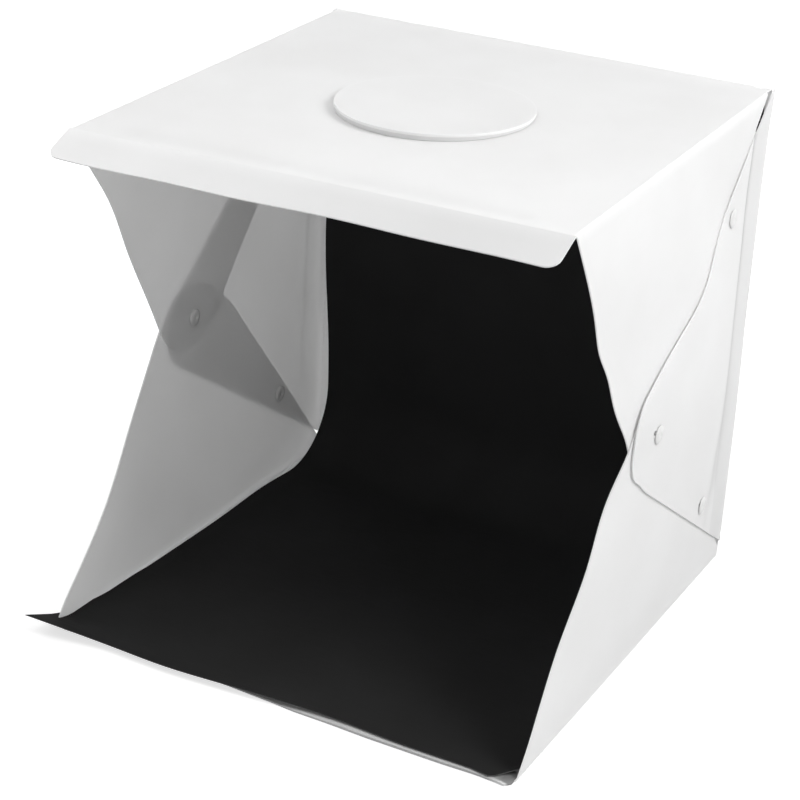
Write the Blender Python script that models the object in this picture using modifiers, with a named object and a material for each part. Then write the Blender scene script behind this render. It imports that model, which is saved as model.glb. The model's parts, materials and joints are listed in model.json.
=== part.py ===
"""Folding light tent cube: creased white plastic sheets held by snaps, two LED bars,
a covered round port in the top and a black sheet backdrop.

Metres, +Z up. The origin is the centre of the bottom panel's underside, the open
front faces -Y. An outline point is (distance from the back, height).
"""
import math

import bmesh
import bpy
from mathutils import Matrix, Vector

# Box
BOX_WIDTH = 0.400
BOX_DEPTH = 0.414
BACK_HEIGHT = 0.416
TOP_DEPTH = 0.389
TOP_TILT = math.radians(2.2)
SHEET = 0.0010
SEAT_GAP = 0.0003
LAYER_GAP = 0.0004
CUT_OVERRUN = 0.0020
BASE_FRONT_OVERHANG = 0.0055
BASE_CORNER_CLIP = 0.0060

# Upper flaps, hanging from the sides of the top panel
UPPER_FRONT_INSET = 0.0015
UPPER_BACK_INSET = 0.014
UPPER_TIP_RADIUS = 0.051
UPPER_CORNER_RADIUS = 0.010
UPPER_CLIP_DEPTH = 0.034
UPPER_CLIP_DROP = 0.0235
UPPER_TIP_SHARES = (0.534, 0.327)
UPPER_BACK_EDGE_SHARES = (0.300, 0.664)
UPPER_TAB_REACH = 0.018
UPPER_TAB_SHARES = ((-1.02, -0.57), (-0.69, 0.67), (-0.03, 1.00))

# Lower flaps, standing on the sides of the bottom panel
LOWER_FRONT_INSET = 0.0025
LOWER_BACK_INSET = 0.0025
LOWER_BACK_RISE = 0.009
LOWER_TIP_RADIUS = 0.050
LOWER_TIP_SHARES = (0.519, 0.629)

# Back strips and wings, outside the flaps
STRIP_WIDTH = 0.036
STRIP_FOOT = 0.015
STRIP_TOP_WIDTH = 0.006
STRIP_CLIP_DROP = 0.030
WING_TIP_RADIUS = 0.042
WING_TIP_ANGLE = math.radians(62)
WING_START_ANGLE = math.radians(-46)
WING_CURVE_SHARES = (0.65, 0.65)

# Snaps, two placed by shares of the box's depth and height, the upper one by the wing's edge
SNAP_CAP_RADIUS = 0.0075
SNAP_CAP_RIM = 0.0008
SNAP_CAP_HEIGHT = 0.0020
SNAP_POST_RADIUS = 0.0020
SNAP_HOLE_CLEARANCE = 0.0003
SNAP_PASS_RADIUS = 0.0045
MIDDLE_SNAP_SHARES = (0.522, 0.478)
LOWER_SNAP_SHARES = (0.184, 0.195)
UPPER_SNAP_INSET = 0.020
UPPER_SNAP_DROP = 0.088

# Front lip
LIP_DEPTH = 0.0315
LIP_DROOP = math.radians(22)
LIP_CORNER_RADIUS = 0.010

# Round port and its lid
PORT_RADIUS = 0.060
PORT_FROM_BACK = 0.206
LID_OVERLAP = 0.015
LID_THICKNESS = 0.0010
LID_PAD_COUNT = 4
LID_PAD_RADIUS = 0.0050
LID_PAD_MARGIN = 0.0020
LID_PAD_THICKNESS = 0.0008

# LED bars under the top panel
BAR_SIDE_MARGIN = 0.040
BAR_WIDTH = 0.012
BAR_HEIGHT = 0.0075
BAR_WALL = 0.0010
BAR_FRONT_INSET = 0.014
BAR_BACK_INSET = 0.015
BAR_END_THICKNESS = 0.0012
BOARD_THICKNESS = 0.0010
CHIP_SIZE = 0.0030
CHIP_HEIGHT = 0.0009
CHIP_COUNT = 24
CHIP_END_MARGIN = 0.006
DIFFUSER_THICKNESS = 0.0010
RIBBON_WIDTH = 0.008
RIBBON_THICKNESS = 0.0004
RIBBON_FROM_BAR_END = 0.010

# Power inlet behind a notch in the back panel
INLET_WIDTH = 0.012
INLET_DEPTH = 0.014
INLET_HEIGHT = 0.0075
INLET_BACK_CLEARANCE = 0.0015
INLET_SIDE_CLEARANCE = 0.0030
INLET_BORE_RADIUS = 0.0026
INLET_BORE_DEPTH = 0.009
INLET_PIN_RADIUS = 0.0008
NOTCH_MARGIN = 0.0015

# Backdrop sheet and the pads that hold its top edge
BACKDROP_SIDE_MARGIN = 0.0075
BACKDROP_THICKNESS = 0.0005
BACKDROP_TOP_CLEARANCE = 0.0015
BACKDROP_CURVE_RADIUS = 0.066
BACKDROP_FRONT_OVERHANG = 0.0030
BACKDROP_BEND_LENGTH = 0.032
BACKDROP_BEND_RADIUS = 0.060
BACKDROP_BEND_ANGLE = math.radians(8)
PAD_WIDTH = 0.024
PAD_HEIGHT = 0.012
PAD_THICKNESS = 0.0009
PAD_EDGE_MARGIN = 0.003
PAD_SPREAD_SHARE = 0.80

# Smoothness
TIP_STEPS = 14
CORNER_STEPS = 6
CURVE_STEPS = 16
ROUND_SIDES = 24
MERGE_DISTANCE = 0.00001
SHARP_ANGLE = math.radians(35)
PORT_SIDES = 72
LID_SIDES = 96
DOME_STEPS = 4

# Worked-out places
HALF_DEPTH = BOX_DEPTH / 2
BAR_LENGTH = BOX_WIDTH - 2 * BAR_SIDE_MARGIN
BACKDROP_WIDTH = BOX_WIDTH - 2 * BACKDROP_SIDE_MARGIN
LOWER_OUTER = BOX_WIDTH / 2
LOWER_INNER = LOWER_OUTER - SHEET
UPPER_OUTER = LOWER_INNER - LAYER_GAP
UPPER_INNER = UPPER_OUTER - SHEET
WING_INNER = LOWER_OUTER + LAYER_GAP
WING_OUTER = WING_INNER + SHEET
PANEL_TOP = SHEET + SEAT_GAP
BACK_TOP = BACK_HEIGHT - SHEET - SEAT_GAP
BACKDROP_BACK = SHEET + 3 * SEAT_GAP + 2 * PAD_THICKNESS
BACKDROP_TOP = BACK_TOP - INLET_HEIGHT - BACKDROP_TOP_CLEARANCE

SIDE_TURN = (math.pi / 2, 0, -math.pi / 2)
BACK_TURN = (math.pi / 2, 0, 0)
FLAT = (0, 0, 0)
SIDES = (("left", -1), ("right", 1))


def clear_scene():
    for old in list(bpy.data.objects):
        bpy.data.objects.remove(old, do_unlink=True)


def make_collection(name):
    collection = bpy.data.collections.new(name)
    bpy.context.scene.collection.children.link(collection)
    return collection


def make_material(name, colour, roughness, metallic=0):
    material = bpy.data.materials.new(name)
    material.use_nodes = True
    shader = material.node_tree.nodes["Principled BSDF"]
    shader.inputs["Base Color"].default_value = (*colour, 1)
    shader.inputs["Roughness"].default_value = roughness
    shader.inputs["Metallic"].default_value = metallic
    material.diffuse_color = (*colour, 1)
    return material


def place(item, parent, location, turn):
    item.parent = parent
    item.location = location
    item.rotation_euler = turn


def add_object(name, data, material, parent, location=(0, 0, 0), turn=FLAT):
    item = bpy.data.objects.new(name, data)
    data.name = name
    data.materials.clear()
    data.materials.append(material)
    parts.objects.link(item)
    place(item, parent, location, turn)
    return item


def hinge(name, parent, location, turn=FLAT):
    """An empty on a joint's axis, which carries the pieces that move with it."""
    empty = bpy.data.objects.new(name, None)
    empty.empty_display_size = BAR_WIDTH
    parts.objects.link(empty)
    place(empty, parent, location, turn)
    return empty


def plate(name, outline, thickness, material, parent, location, turn, holes=()):
    """A flat sheet of one outline, centred on its middle plane."""
    curve = bpy.data.curves.new(name, "CURVE")
    curve.dimensions = "2D"
    curve.fill_mode = "BOTH"
    curve.extrude = thickness / 2
    for loop in (outline, *holes):
        spline = curve.splines.new("POLY")
        spline.points.add(len(loop) - 1)
        for point, (across, along) in zip(spline.points, loop):
            point.co = (across, along, 0, 1)
        spline.use_cyclic_u = True
    return add_object(name, curve, material, parent, location, turn)


def block_mesh(name, size, centres):
    """One box of the given size round each centre."""
    bm = bmesh.new()
    for centre in centres:
        fit = Matrix.Translation(centre) @ Matrix.Diagonal((*size, 1))
        bmesh.ops.create_cube(bm, size=1, matrix=fit)
    mesh = bpy.data.meshes.new(name)
    bm.to_mesh(mesh)
    bm.free()
    return mesh


def add_block(name, size, centre, material, parent):
    return add_object(name, block_mesh(name, size, [centre]), material, parent)


def add_disc(name, radius, thickness, sides, centre, material, parent):
    bm = bmesh.new()
    bmesh.ops.create_cone(bm, cap_ends=True, segments=sides, radius1=radius, radius2=radius,
                          depth=thickness, matrix=Matrix.Translation(centre))
    mesh = bpy.data.meshes.new(name)
    bm.to_mesh(mesh)
    bm.free()
    shade_round(mesh)
    return add_object(name, mesh, material, parent)


def shade_round(mesh):
    mesh.shade_smooth()
    mesh.set_sharp_from_angle(angle=SHARP_ANGLE)


def turned_mesh(name, profile, closed):
    """A profile at +X, listed down its outer side, turned about Z."""
    mesh = bpy.data.meshes.new(name)
    links = [(i, i + 1) for i in range(len(profile) - 1)]
    if closed:
        links.append((len(profile) - 1, 0))
    mesh.from_pydata([(radius, 0, height) for radius, height in profile], links, [])
    guide = bpy.data.objects.new(name + "_guide", mesh)
    bpy.context.scene.collection.objects.link(guide)
    screw = guide.modifiers.new("turn", "SCREW")
    screw.steps = ROUND_SIDES
    screw.render_steps = ROUND_SIDES
    screw.use_merge_vertices = True
    screw.merge_threshold = MERGE_DISTANCE
    screw.use_smooth_shade = True
    depsgraph = bpy.context.evaluated_depsgraph_get()
    solid = bpy.data.meshes.new_from_object(guide.evaluated_get(depsgraph))
    bpy.data.objects.remove(guide)
    shade_round(solid)
    return solid


def combine(item, operation, tool_mesh, location=(0, 0, 0), turn=FLAT):
    """Cuts a tool's shape from a piece or joins it on, both in the piece's parent frame."""
    tool = bpy.data.objects.new(item.name + "_tool", tool_mesh)
    cutters.objects.link(tool)
    tool.hide_render = True
    tool.display_type = "WIRE"
    place(tool, item.parent, location, turn)
    boolean = item.modifiers.new(operation.lower(), "BOOLEAN")
    boolean.operation = operation
    boolean.solver = "EXACT"
    boolean.object = tool


def arc(centre, radius, start, end, steps):
    span = end - start
    angles = [start + span * step / steps for step in range(steps + 1)]
    return [(centre[0] + radius * math.cos(a), centre[1] + radius * math.sin(a)) for a in angles]


def circle(centre, radius, sides):
    return arc(centre, radius, 0, 2 * math.pi, sides)[:-1]


def rounded(corners):
    """An outline whose corners, each (x, y, radius, steps), are rounded off."""
    outline = []
    for index, (x, y, radius, steps) in enumerate(corners):
        corner = Vector((x, y))
        if radius == 0:
            outline.append((x, y))
            continue
        before = Vector(corners[index - 1][:2]) - corner
        after = Vector(corners[(index + 1) % len(corners)][:2]) - corner
        half = before.angle(after) / 2
        reach = min(radius / math.tan(half), before.length, after.length)
        fit = reach * math.tan(half)
        bisector = (before.normalized() + after.normalized()).normalized()
        centre = corner + bisector * (fit / math.sin(half))
        first = corner + before.normalized() * reach - centre
        last = corner + after.normalized() * reach - centre
        start = math.atan2(first.y, first.x)
        sweep = math.atan2(last.y, last.x) - start
        sweep = (sweep + math.pi) % (2 * math.pi) - math.pi
        outline += arc(centre, fit, start, start + sweep, steps)
    return outline


def bezier(start, start_handle, end_handle, end, steps):
    points = []
    for step in range(steps + 1):
        t = step / steps
        weights = ((1 - t) ** 3, 3 * t * (1 - t) ** 2, 3 * t * t * (1 - t), t ** 3)
        knots = (start, start_handle, end_handle, end)
        points.append(tuple(sum(w * knot[k] for w, knot in zip(weights, knots)) for k in (0, 1)))
    return points


def box_place(shares):
    """A place on a side of the box, from shares of its depth and height."""
    return shares[0] * BOX_DEPTH, shares[1] * BACK_HEIGHT


def in_top_frame(spot):
    """A side place seen from the tilted top panel: (from the back, below the top)."""
    from_back, below = spot[0], BACK_HEIGHT - spot[1]
    along = from_back * math.cos(TOP_TILT) + below * math.sin(TOP_TILT)
    down = below * math.cos(TOP_TILT) - from_back * math.sin(TOP_TILT)
    return along, down


def snap_mesh(post_length):
    """A domed cap over its post, with the cap's underside at height zero."""
    rise = SNAP_CAP_HEIGHT - SNAP_CAP_RIM
    dome = []
    for step in range(DOME_STEPS + 1):
        lean = math.pi / 2 * step / DOME_STEPS
        dome.append((SNAP_CAP_RADIUS * math.sin(lean), SNAP_CAP_RIM + rise * math.cos(lean)))
    profile = dome + [(SNAP_CAP_RADIUS, 0), (SNAP_POST_RADIUS, 0),
                      (SNAP_POST_RADIUS, -post_length), (0, -post_length)]
    return turned_mesh("snap", profile, closed=False)


def add_snap_cap(name, parent, spot, outward):
    """A snap on a side sheet whose visible face lies in its parent's middle plane."""
    along, up = spot
    location = (outward * SEAT_GAP, -along, up)
    turn = (0, outward * math.pi / 2, 0)
    add_object(name, snap_mesh(SEAT_GAP + SHEET), snap_plastic, parent, location, turn)


def build_base(parent):
    """The bottom panel, whose clipped front edge reaches a little past the flaps."""
    front = -(HALF_DEPTH + BASE_FRONT_OVERHANG)
    clipped = LOWER_OUTER - BASE_CORNER_CLIP
    outline = [(-LOWER_OUTER, -HALF_DEPTH), (-clipped, front), (clipped, front),
               (LOWER_OUTER, -HALF_DEPTH), (LOWER_OUTER, HALF_DEPTH), (-LOWER_OUTER, HALF_DEPTH)]
    plate("bottom_panel", outline, SHEET, white, parent, (0, 0, SHEET / 2), FLAT)


def backdrop_path():
    """The sheet's middle line, (from the back, height), from its top edge to its front."""
    middle = BACKDROP_THICKNESS / 2
    back = BACKDROP_BACK + middle
    floor = PANEL_TOP + middle
    radius = BACKDROP_CURVE_RADIUS
    path = [(back, BACKDROP_TOP)]
    path += arc((back + radius, floor + radius), radius, math.pi, 1.5 * math.pi, CURVE_STEPS)
    bend_start = BOX_DEPTH + BACKDROP_FRONT_OVERHANG - BACKDROP_BEND_LENGTH
    lift = BACKDROP_BEND_RADIUS
    down = -math.pi / 2
    path += arc((bend_start, floor + lift), lift, down, down + BACKDROP_BEND_ANGLE, CORNER_STEPS)
    bend_end = path[-1]
    run = BOX_DEPTH + BACKDROP_FRONT_OVERHANG - bend_end[0]
    path.append((bend_end[0] + run, bend_end[1] + run * math.tan(BACKDROP_BEND_ANGLE)))
    return path


def thickened(path, thickness):
    """A closed outline that follows a path at half the thickness on both sides."""
    points = [Vector(point) for point in path]
    left, right = [], []
    for index, point in enumerate(points):
        ahead = points[min(index + 1, len(points) - 1)]
        behind = points[max(index - 1, 0)]
        run = (ahead - behind).normalized()
        side = Vector((-run.y, run.x)) * (thickness / 2)
        left.append(tuple(point + side))
        right.append(tuple(point - side))
    return left + right[::-1]


def add_pads(name, from_back, parent):
    """A row of hook-and-loop pads near the backdrop's top edge."""
    height = BACKDROP_TOP - PAD_EDGE_MARGIN - PAD_HEIGHT / 2
    middle = from_back + PAD_THICKNESS / 2
    for side, sign in SIDES:
        across = sign * PAD_SPREAD_SHARE * BACKDROP_WIDTH / 2
        add_block(f"{side}_{name}", (PAD_WIDTH, PAD_THICKNESS, PAD_HEIGHT),
                  (across, -middle, height), pad_cloth, parent)


def build_backdrop(parent):
    outline = thickened(backdrop_path(), BACKDROP_THICKNESS)
    plate("backdrop_sheet", outline, BACKDROP_WIDTH, black_sheet, parent, (0, HALF_DEPTH, 0),
          SIDE_TURN)
    seat = hinge("backdrop_seat", parent, (0, HALF_DEPTH, 0))
    add_pads("backdrop_loop_pad", SHEET + 2 * SEAT_GAP + PAD_THICKNESS, seat)


def inlet_centre():
    """The inlet's middle across the box, beyond the rear bar's left end."""
    bar_end = BAR_LENGTH / 2 + SEAT_GAP + BAR_END_THICKNESS
    return -(bar_end + INLET_SIDE_CLEARANCE + INLET_WIDTH / 2)


def build_back(parent):
    half = WING_INNER - SEAT_GAP
    notch_low = BACK_TOP - INLET_HEIGHT - NOTCH_MARGIN
    notch_left = inlet_centre() - INLET_WIDTH / 2 - NOTCH_MARGIN
    notch_right = inlet_centre() + INLET_WIDTH / 2 + NOTCH_MARGIN
    outline = [(-half, PANEL_TOP), (half, PANEL_TOP), (half, BACK_TOP), (notch_right, BACK_TOP),
               (notch_right, notch_low), (notch_left, notch_low), (notch_left, BACK_TOP),
               (-half, BACK_TOP)]
    plate("back_panel", outline, SHEET, white, parent, (0, -SHEET / 2, 0), BACK_TURN)
    add_pads("backdrop_hook_pad", SHEET + SEAT_GAP, parent)


def wing_lower_angle():
    """The slope of the wing's lower edge, which runs from the strip's foot to the tip."""
    tip = box_place(MIDDLE_SNAP_SHARES)
    run = Vector((tip[0], tip[1] - STRIP_FOOT))
    return math.atan2(run.y, run.x) - math.asin(WING_TIP_RADIUS / run.length)


def strip_outline():
    low = STRIP_FOOT + STRIP_WIDTH * math.tan(wing_lower_angle())
    return [(0, STRIP_FOOT), (STRIP_WIDTH, low), (STRIP_WIDTH, BACK_HEIGHT - STRIP_CLIP_DROP),
            (STRIP_TOP_WIDTH, BACK_HEIGHT), (0, BACK_HEIGHT)]


def wing_tip():
    """The round end of the wing, from its lower edge up to its front edge."""
    start = wing_lower_angle() - math.pi / 2
    return arc(box_place(MIDDLE_SNAP_SHARES), WING_TIP_RADIUS, start, WING_TIP_ANGLE, TIP_STEPS)


def wing_front_edge():
    """The curve from the top of the strip's front edge down to the wing's tip."""
    start = Vector((STRIP_WIDTH + SEAT_GAP, BACK_HEIGHT - STRIP_CLIP_DROP))
    end = Vector(wing_tip()[-1])
    reach = (end - start).length
    fall = Vector((math.cos(WING_START_ANGLE), math.sin(WING_START_ANGLE)))
    run = Vector((math.sin(WING_TIP_ANGLE), -math.cos(WING_TIP_ANGLE)))
    start_handle = start + fall * (reach * WING_CURVE_SHARES[0])
    end_handle = end - run * (reach * WING_CURVE_SHARES[1])
    return bezier(start, start_handle, end_handle, end, CURVE_STEPS)


def upper_snap_place():
    """A place behind the wing's front edge, at the upper snap's height."""
    height = BACK_HEIGHT - UPPER_SNAP_DROP
    edge = wing_front_edge()
    above, below = next(pair for pair in zip(edge, edge[1:]) if pair[1][1] <= height)
    share = (above[1] - height) / (above[1] - below[1])
    return above[0] + share * (below[0] - above[0]) - UPPER_SNAP_INSET, height


def wing_outline():
    """The wing seen from its crease: distances forward of the strip's front edge."""
    start = STRIP_WIDTH + SEAT_GAP
    low = STRIP_FOOT + start * math.tan(wing_lower_angle())
    outline = [(start, low)] + wing_tip() + wing_front_edge()[-2::-1]
    crease = STRIP_WIDTH + SEAT_GAP / 2
    return [(along - crease, up) for along, up in outline]


def build_side_of_back(side, sign, parent):
    strip = hinge(side + "_strip_hinge", parent, (sign * WING_OUTER, 0, 0))
    middle = -sign * SHEET / 2
    plate(side + "_back_strip", strip_outline(), SHEET, white, strip, (middle, 0, 0), SIDE_TURN)
    crease = STRIP_WIDTH + SEAT_GAP / 2
    wing = hinge(side + "_wing_hinge", strip, (0, -crease, 0))
    snaps = (upper_snap_place(), box_place(MIDDLE_SNAP_SHARES), box_place(LOWER_SNAP_SHARES))
    spots = [(along - crease, up) for along, up in snaps]
    radius = SNAP_POST_RADIUS + SNAP_HOLE_CLEARANCE
    holes = [circle(spot, radius, ROUND_SIDES) for spot in spots]
    plate(side + "_wing", wing_outline(), SHEET, white, wing, (middle, 0, 0), SIDE_TURN, holes)
    for level, spot in zip(("upper", "middle", "lower"), spots):
        add_snap_cap(f"{side}_wing_{level}_snap_cap", wing, spot, sign)


def upper_flap_outline():
    """A triangle with a round tip and, behind the upper snap, a tab that it holds."""
    drop = SHEET + SEAT_GAP
    corners = [(TOP_DEPTH - UPPER_FRONT_INSET, 0, 0, 0), (UPPER_BACK_INSET, 0, 0, 0)]
    snap_along, snap_down = in_top_frame(upper_snap_place())
    edge = [(UPPER_CLIP_DEPTH, UPPER_CLIP_DROP)]
    edge += [(snap_along + along * UPPER_TAB_REACH, snap_down + down * UPPER_TAB_REACH)
             for along, down in UPPER_TAB_SHARES]
    edge.append(in_top_frame(box_place(UPPER_BACK_EDGE_SHARES)))
    corners += [(along, drop - down, UPPER_CORNER_RADIUS, CORNER_STEPS) for along, down in edge]
    tip_along, tip_down = in_top_frame(box_place(UPPER_TIP_SHARES))
    corners.append((tip_along, drop - tip_down, UPPER_TIP_RADIUS, TIP_STEPS))
    return rounded(corners)


def build_upper_flap(side, sign, parent):
    drop = SHEET + SEAT_GAP
    flap = hinge(side + "_upper_hinge", parent, (sign * UPPER_INNER, 0, -drop))
    spots = []
    for snap in (upper_snap_place(), box_place(MIDDLE_SNAP_SHARES)):
        along, down = in_top_frame(snap)
        spots.append((along, drop - down))
    radius = SNAP_POST_RADIUS + SNAP_HOLE_CLEARANCE
    holes = [circle(spot, radius, ROUND_SIDES) for spot in spots]
    plate(side + "_upper_flap", upper_flap_outline(), SHEET, white, flap,
          (sign * SHEET / 2, 0, 0), SIDE_TURN, holes)
    for level, spot in zip(("rear", "tip"), spots):
        add_snap_cap(f"{side}_upper_flap_{level}_snap_cap", flap, spot, -sign)


def lower_flap_outline():
    tip_along, tip_up = box_place(LOWER_TIP_SHARES)
    return rounded([(BOX_DEPTH - LOWER_FRONT_INSET, 0, 0, 0),
                    (tip_along, tip_up, LOWER_TIP_RADIUS, TIP_STEPS),
                    (LOWER_BACK_INSET, LOWER_BACK_RISE, 0, 0),
                    (LOWER_BACK_INSET, 0, 0, 0)])


def build_lower_flap(side, sign):
    flap = hinge(side + "_lower_hinge", None, (sign * LOWER_INNER, HALF_DEPTH, PANEL_TOP))
    along, up = box_place(LOWER_SNAP_SHARES)
    spot = (along, up - PANEL_TOP)
    along, up = box_place(MIDDLE_SNAP_SHARES)
    passage = circle((along, up - PANEL_TOP), SNAP_PASS_RADIUS, ROUND_SIDES)
    holes = [circle(spot, SNAP_POST_RADIUS + SNAP_HOLE_CLEARANCE, ROUND_SIDES), passage]
    plate(side + "_lower_flap", lower_flap_outline(), SHEET, white, flap,
          (sign * SHEET / 2, 0, 0), SIDE_TURN, holes)
    add_snap_cap(side + "_lower_flap_snap_cap", flap, spot, -sign)


def build_top(parent):
    outline = [(-UPPER_OUTER, -TOP_DEPTH), (UPPER_OUTER, -TOP_DEPTH), (UPPER_OUTER, 0),
               (-UPPER_OUTER, 0)]
    port = circle((0, -PORT_FROM_BACK), PORT_RADIUS, PORT_SIDES)
    plate("top_panel", outline, SHEET, white, parent, (0, 0, -SHEET / 2), FLAT, [port])


def add_lid_pads(name, low, parent):
    """A ring of small hook-and-loop dots between the top panel and the lid."""
    ring = PORT_RADIUS + LID_OVERLAP - LID_PAD_MARGIN - LID_PAD_RADIUS
    for index, (across, along) in enumerate(circle((0, 0), ring, LID_PAD_COUNT)):
        add_disc(f"{name}_{index + 1}", LID_PAD_RADIUS, LID_PAD_THICKNESS, ROUND_SIDES,
                 (across, along, low + LID_PAD_THICKNESS / 2), pad_cloth, parent)


def build_lid(parent):
    seat = hinge("port_seat", parent, (0, -PORT_FROM_BACK, 0))
    slide = hinge("lid_slide", parent, (0, -PORT_FROM_BACK, 0))
    add_lid_pads("lid_loop_pad", SEAT_GAP, seat)
    hooks_low = 2 * SEAT_GAP + LID_PAD_THICKNESS
    add_lid_pads("lid_hook_pad", hooks_low, slide)
    low = hooks_low + LID_PAD_THICKNESS + SEAT_GAP
    add_disc("port_lid", PORT_RADIUS + LID_OVERLAP, LID_THICKNESS, LID_SIDES,
             (0, 0, low + LID_THICKNESS / 2), white, slide)


def build_lip(parent):
    lip = hinge("lip_hinge", parent, (0, -(TOP_DEPTH + SEAT_GAP / 2), -SHEET), (LIP_DROOP, 0, 0))
    near = -SEAT_GAP / 2
    far = near - LIP_DEPTH
    outline = rounded([(UPPER_OUTER, near, 0, 0), (-UPPER_OUTER, near, 0, 0),
                       (-UPPER_OUTER, far, LIP_CORNER_RADIUS, CORNER_STEPS),
                       (UPPER_OUTER, far, LIP_CORNER_RADIUS, CORNER_STEPS)])
    plate("front_lip", outline, SHEET, white, lip, (0, 0, SHEET / 2), FLAT)


def build_led_bar(place_name, middle, parent):
    """A channel that opens downwards, with its board, chips, diffuser and end caps."""
    bar = hinge(place_name + "_bar_seat", parent, (0, -middle, -(SHEET + SEAT_GAP)))
    half = BAR_WIDTH / 2
    inner = half - BAR_WALL
    channel = [(-half, 0), (-half, -BAR_HEIGHT), (-inner, -BAR_HEIGHT), (-inner, -BAR_WALL),
               (inner, -BAR_WALL), (inner, -BAR_HEIGHT), (half, -BAR_HEIGHT), (half, 0)]
    plate(place_name + "_led_channel", channel, BAR_LENGTH, channel_plastic, bar, (0, 0, 0),
          SIDE_TURN)
    fit_width = 2 * (inner - SEAT_GAP)
    board_top = -(BAR_WALL + SEAT_GAP)
    board_low = board_top - BOARD_THICKNESS
    board = add_block(place_name + "_led_board", (BAR_LENGTH, fit_width, BOARD_THICKNESS),
                      (0, 0, board_top - BOARD_THICKNESS / 2), board_white, bar)
    root = BOARD_THICKNESS / 2
    span = BAR_LENGTH - 2 * CHIP_END_MARGIN - CHIP_SIZE
    middle_height = board_low + (root - CHIP_HEIGHT) / 2
    places = [(span * (index / (CHIP_COUNT - 1) - 1 / 2), 0, middle_height)
              for index in range(CHIP_COUNT)]
    chips = block_mesh(place_name + "_chips", (CHIP_SIZE, CHIP_SIZE, CHIP_HEIGHT + root), places)
    combine(board, "UNION", chips)
    add_block(place_name + "_led_diffuser", (BAR_LENGTH, fit_width, DIFFUSER_THICKNESS),
              (0, 0, DIFFUSER_THICKNESS / 2 - BAR_HEIGHT), diffuser_white, bar)
    end = BAR_LENGTH / 2 + SEAT_GAP + BAR_END_THICKNESS / 2
    for side, sign in SIDES:
        add_block(f"{place_name}_led_{side}_end_cap", (BAR_END_THICKNESS, BAR_WIDTH, BAR_HEIGHT),
                  (sign * end, 0, -BAR_HEIGHT / 2), channel_plastic, bar)


def build_ribbon(front_middle, rear_middle, parent):
    """The flat lead between the two bars, along the underside of the top panel."""
    clear = BAR_WIDTH / 2 + SEAT_GAP
    length = front_middle - rear_middle - 2 * clear
    middle = (front_middle + rear_middle) / 2
    across = -(BAR_LENGTH / 2 - RIBBON_FROM_BAR_END)
    height = -(SHEET + SEAT_GAP + RIBBON_THICKNESS / 2)
    add_block("led_ribbon", (RIBBON_WIDTH, length, RIBBON_THICKNESS),
              (across, -middle, height), ribbon_white, parent)


def build_inlet(parent):
    """The socket for the power lead, with the flat lead that joins it to the rear bar."""
    under = SHEET + SEAT_GAP
    seat = hinge("inlet_seat", parent, (inlet_centre(), -(SHEET + INLET_BACK_CLEARANCE), -under))
    inlet = add_block("power_inlet", (INLET_WIDTH, INLET_DEPTH, INLET_HEIGHT),
                      (0, -INLET_DEPTH / 2, -INLET_HEIGHT / 2), black_plastic, seat)
    ring = turned_mesh("inlet_ring", [(INLET_BORE_RADIUS, CUT_OVERRUN),
                                      (INLET_BORE_RADIUS, -INLET_BORE_DEPTH),
                                      (INLET_PIN_RADIUS, -INLET_BORE_DEPTH),
                                      (INLET_PIN_RADIUS, CUT_OVERRUN)], closed=True)
    combine(inlet, "DIFFERENCE", ring, (0, 0, -INLET_HEIGHT / 2), (-math.pi / 2, 0, 0))
    start = BAR_LENGTH / 2 + BAR_END_THICKNESS + 2 * SEAT_GAP
    end = -(inlet_centre() + INLET_WIDTH / 2) - SEAT_GAP
    add_block("inlet_lead", (end - start, RIBBON_WIDTH, RIBBON_THICKNESS),
              (-(start + end) / 2, -BAR_BACK_INSET, -(under + RIBBON_THICKNESS / 2)),
              ribbon_white, parent)


clear_scene()
parts = make_collection("light_tent_cube")
cutters = make_collection("cutters")
white = make_material("white_sheet", (0.90, 0.90, 0.90), 0.42)
black_sheet = make_material("black_sheet", (0.012, 0.012, 0.013), 0.55)
snap_plastic = make_material("snap_plastic", (0.86, 0.86, 0.86), 0.30)
pad_cloth = make_material("hook_and_loop", (0.80, 0.80, 0.79), 0.90)
channel_plastic = make_material("channel_plastic", (0.85, 0.85, 0.85), 0.40)
board_white = make_material("board_white", (0.78, 0.80, 0.78), 0.50)
diffuser_white = make_material("diffuser_white", (0.92, 0.92, 0.90), 0.60)
ribbon_white = make_material("ribbon_white", (0.82, 0.82, 0.80), 0.50)
black_plastic = make_material("black_plastic", (0.03, 0.03, 0.03), 0.40)

back_hinge = hinge("back_hinge", None, (0, HALF_DEPTH, 0))
top_hinge = hinge("top_hinge", back_hinge, (0, 0, BACK_HEIGHT), (TOP_TILT, 0, 0))
front_bar = TOP_DEPTH - BAR_FRONT_INSET
build_base(None)
build_backdrop(None)
build_back(back_hinge)
build_top(top_hinge)
build_lid(top_hinge)
build_lip(top_hinge)
build_led_bar("front", front_bar, top_hinge)
build_led_bar("rear", BAR_BACK_INSET, top_hinge)
build_ribbon(front_bar, BAR_BACK_INSET, top_hinge)
build_inlet(top_hinge)
for side, sign in SIDES:
    build_side_of_back(side, sign, back_hinge)
    build_upper_flap(side, sign, top_hinge)
    build_lower_flap(side, sign)
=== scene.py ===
"""Looks of a folding light tent cube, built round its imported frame.

The flat white panels become slightly bowed translucent sheets with rounded folds, the
backdrop becomes one bent black sheet, and the snaps, pads and lid get their own forms.
Metres, +Z up. The origin is the centre of the bottom panel's underside and the open
front faces -Y. On a side of the box, d is the distance forward of the back face.
"""

import json
import math

import bmesh
import bpy
import numpy as np
from mathutils import Matrix, Vector
from mathutils.geometry import delaunay_2d_cdt


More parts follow.
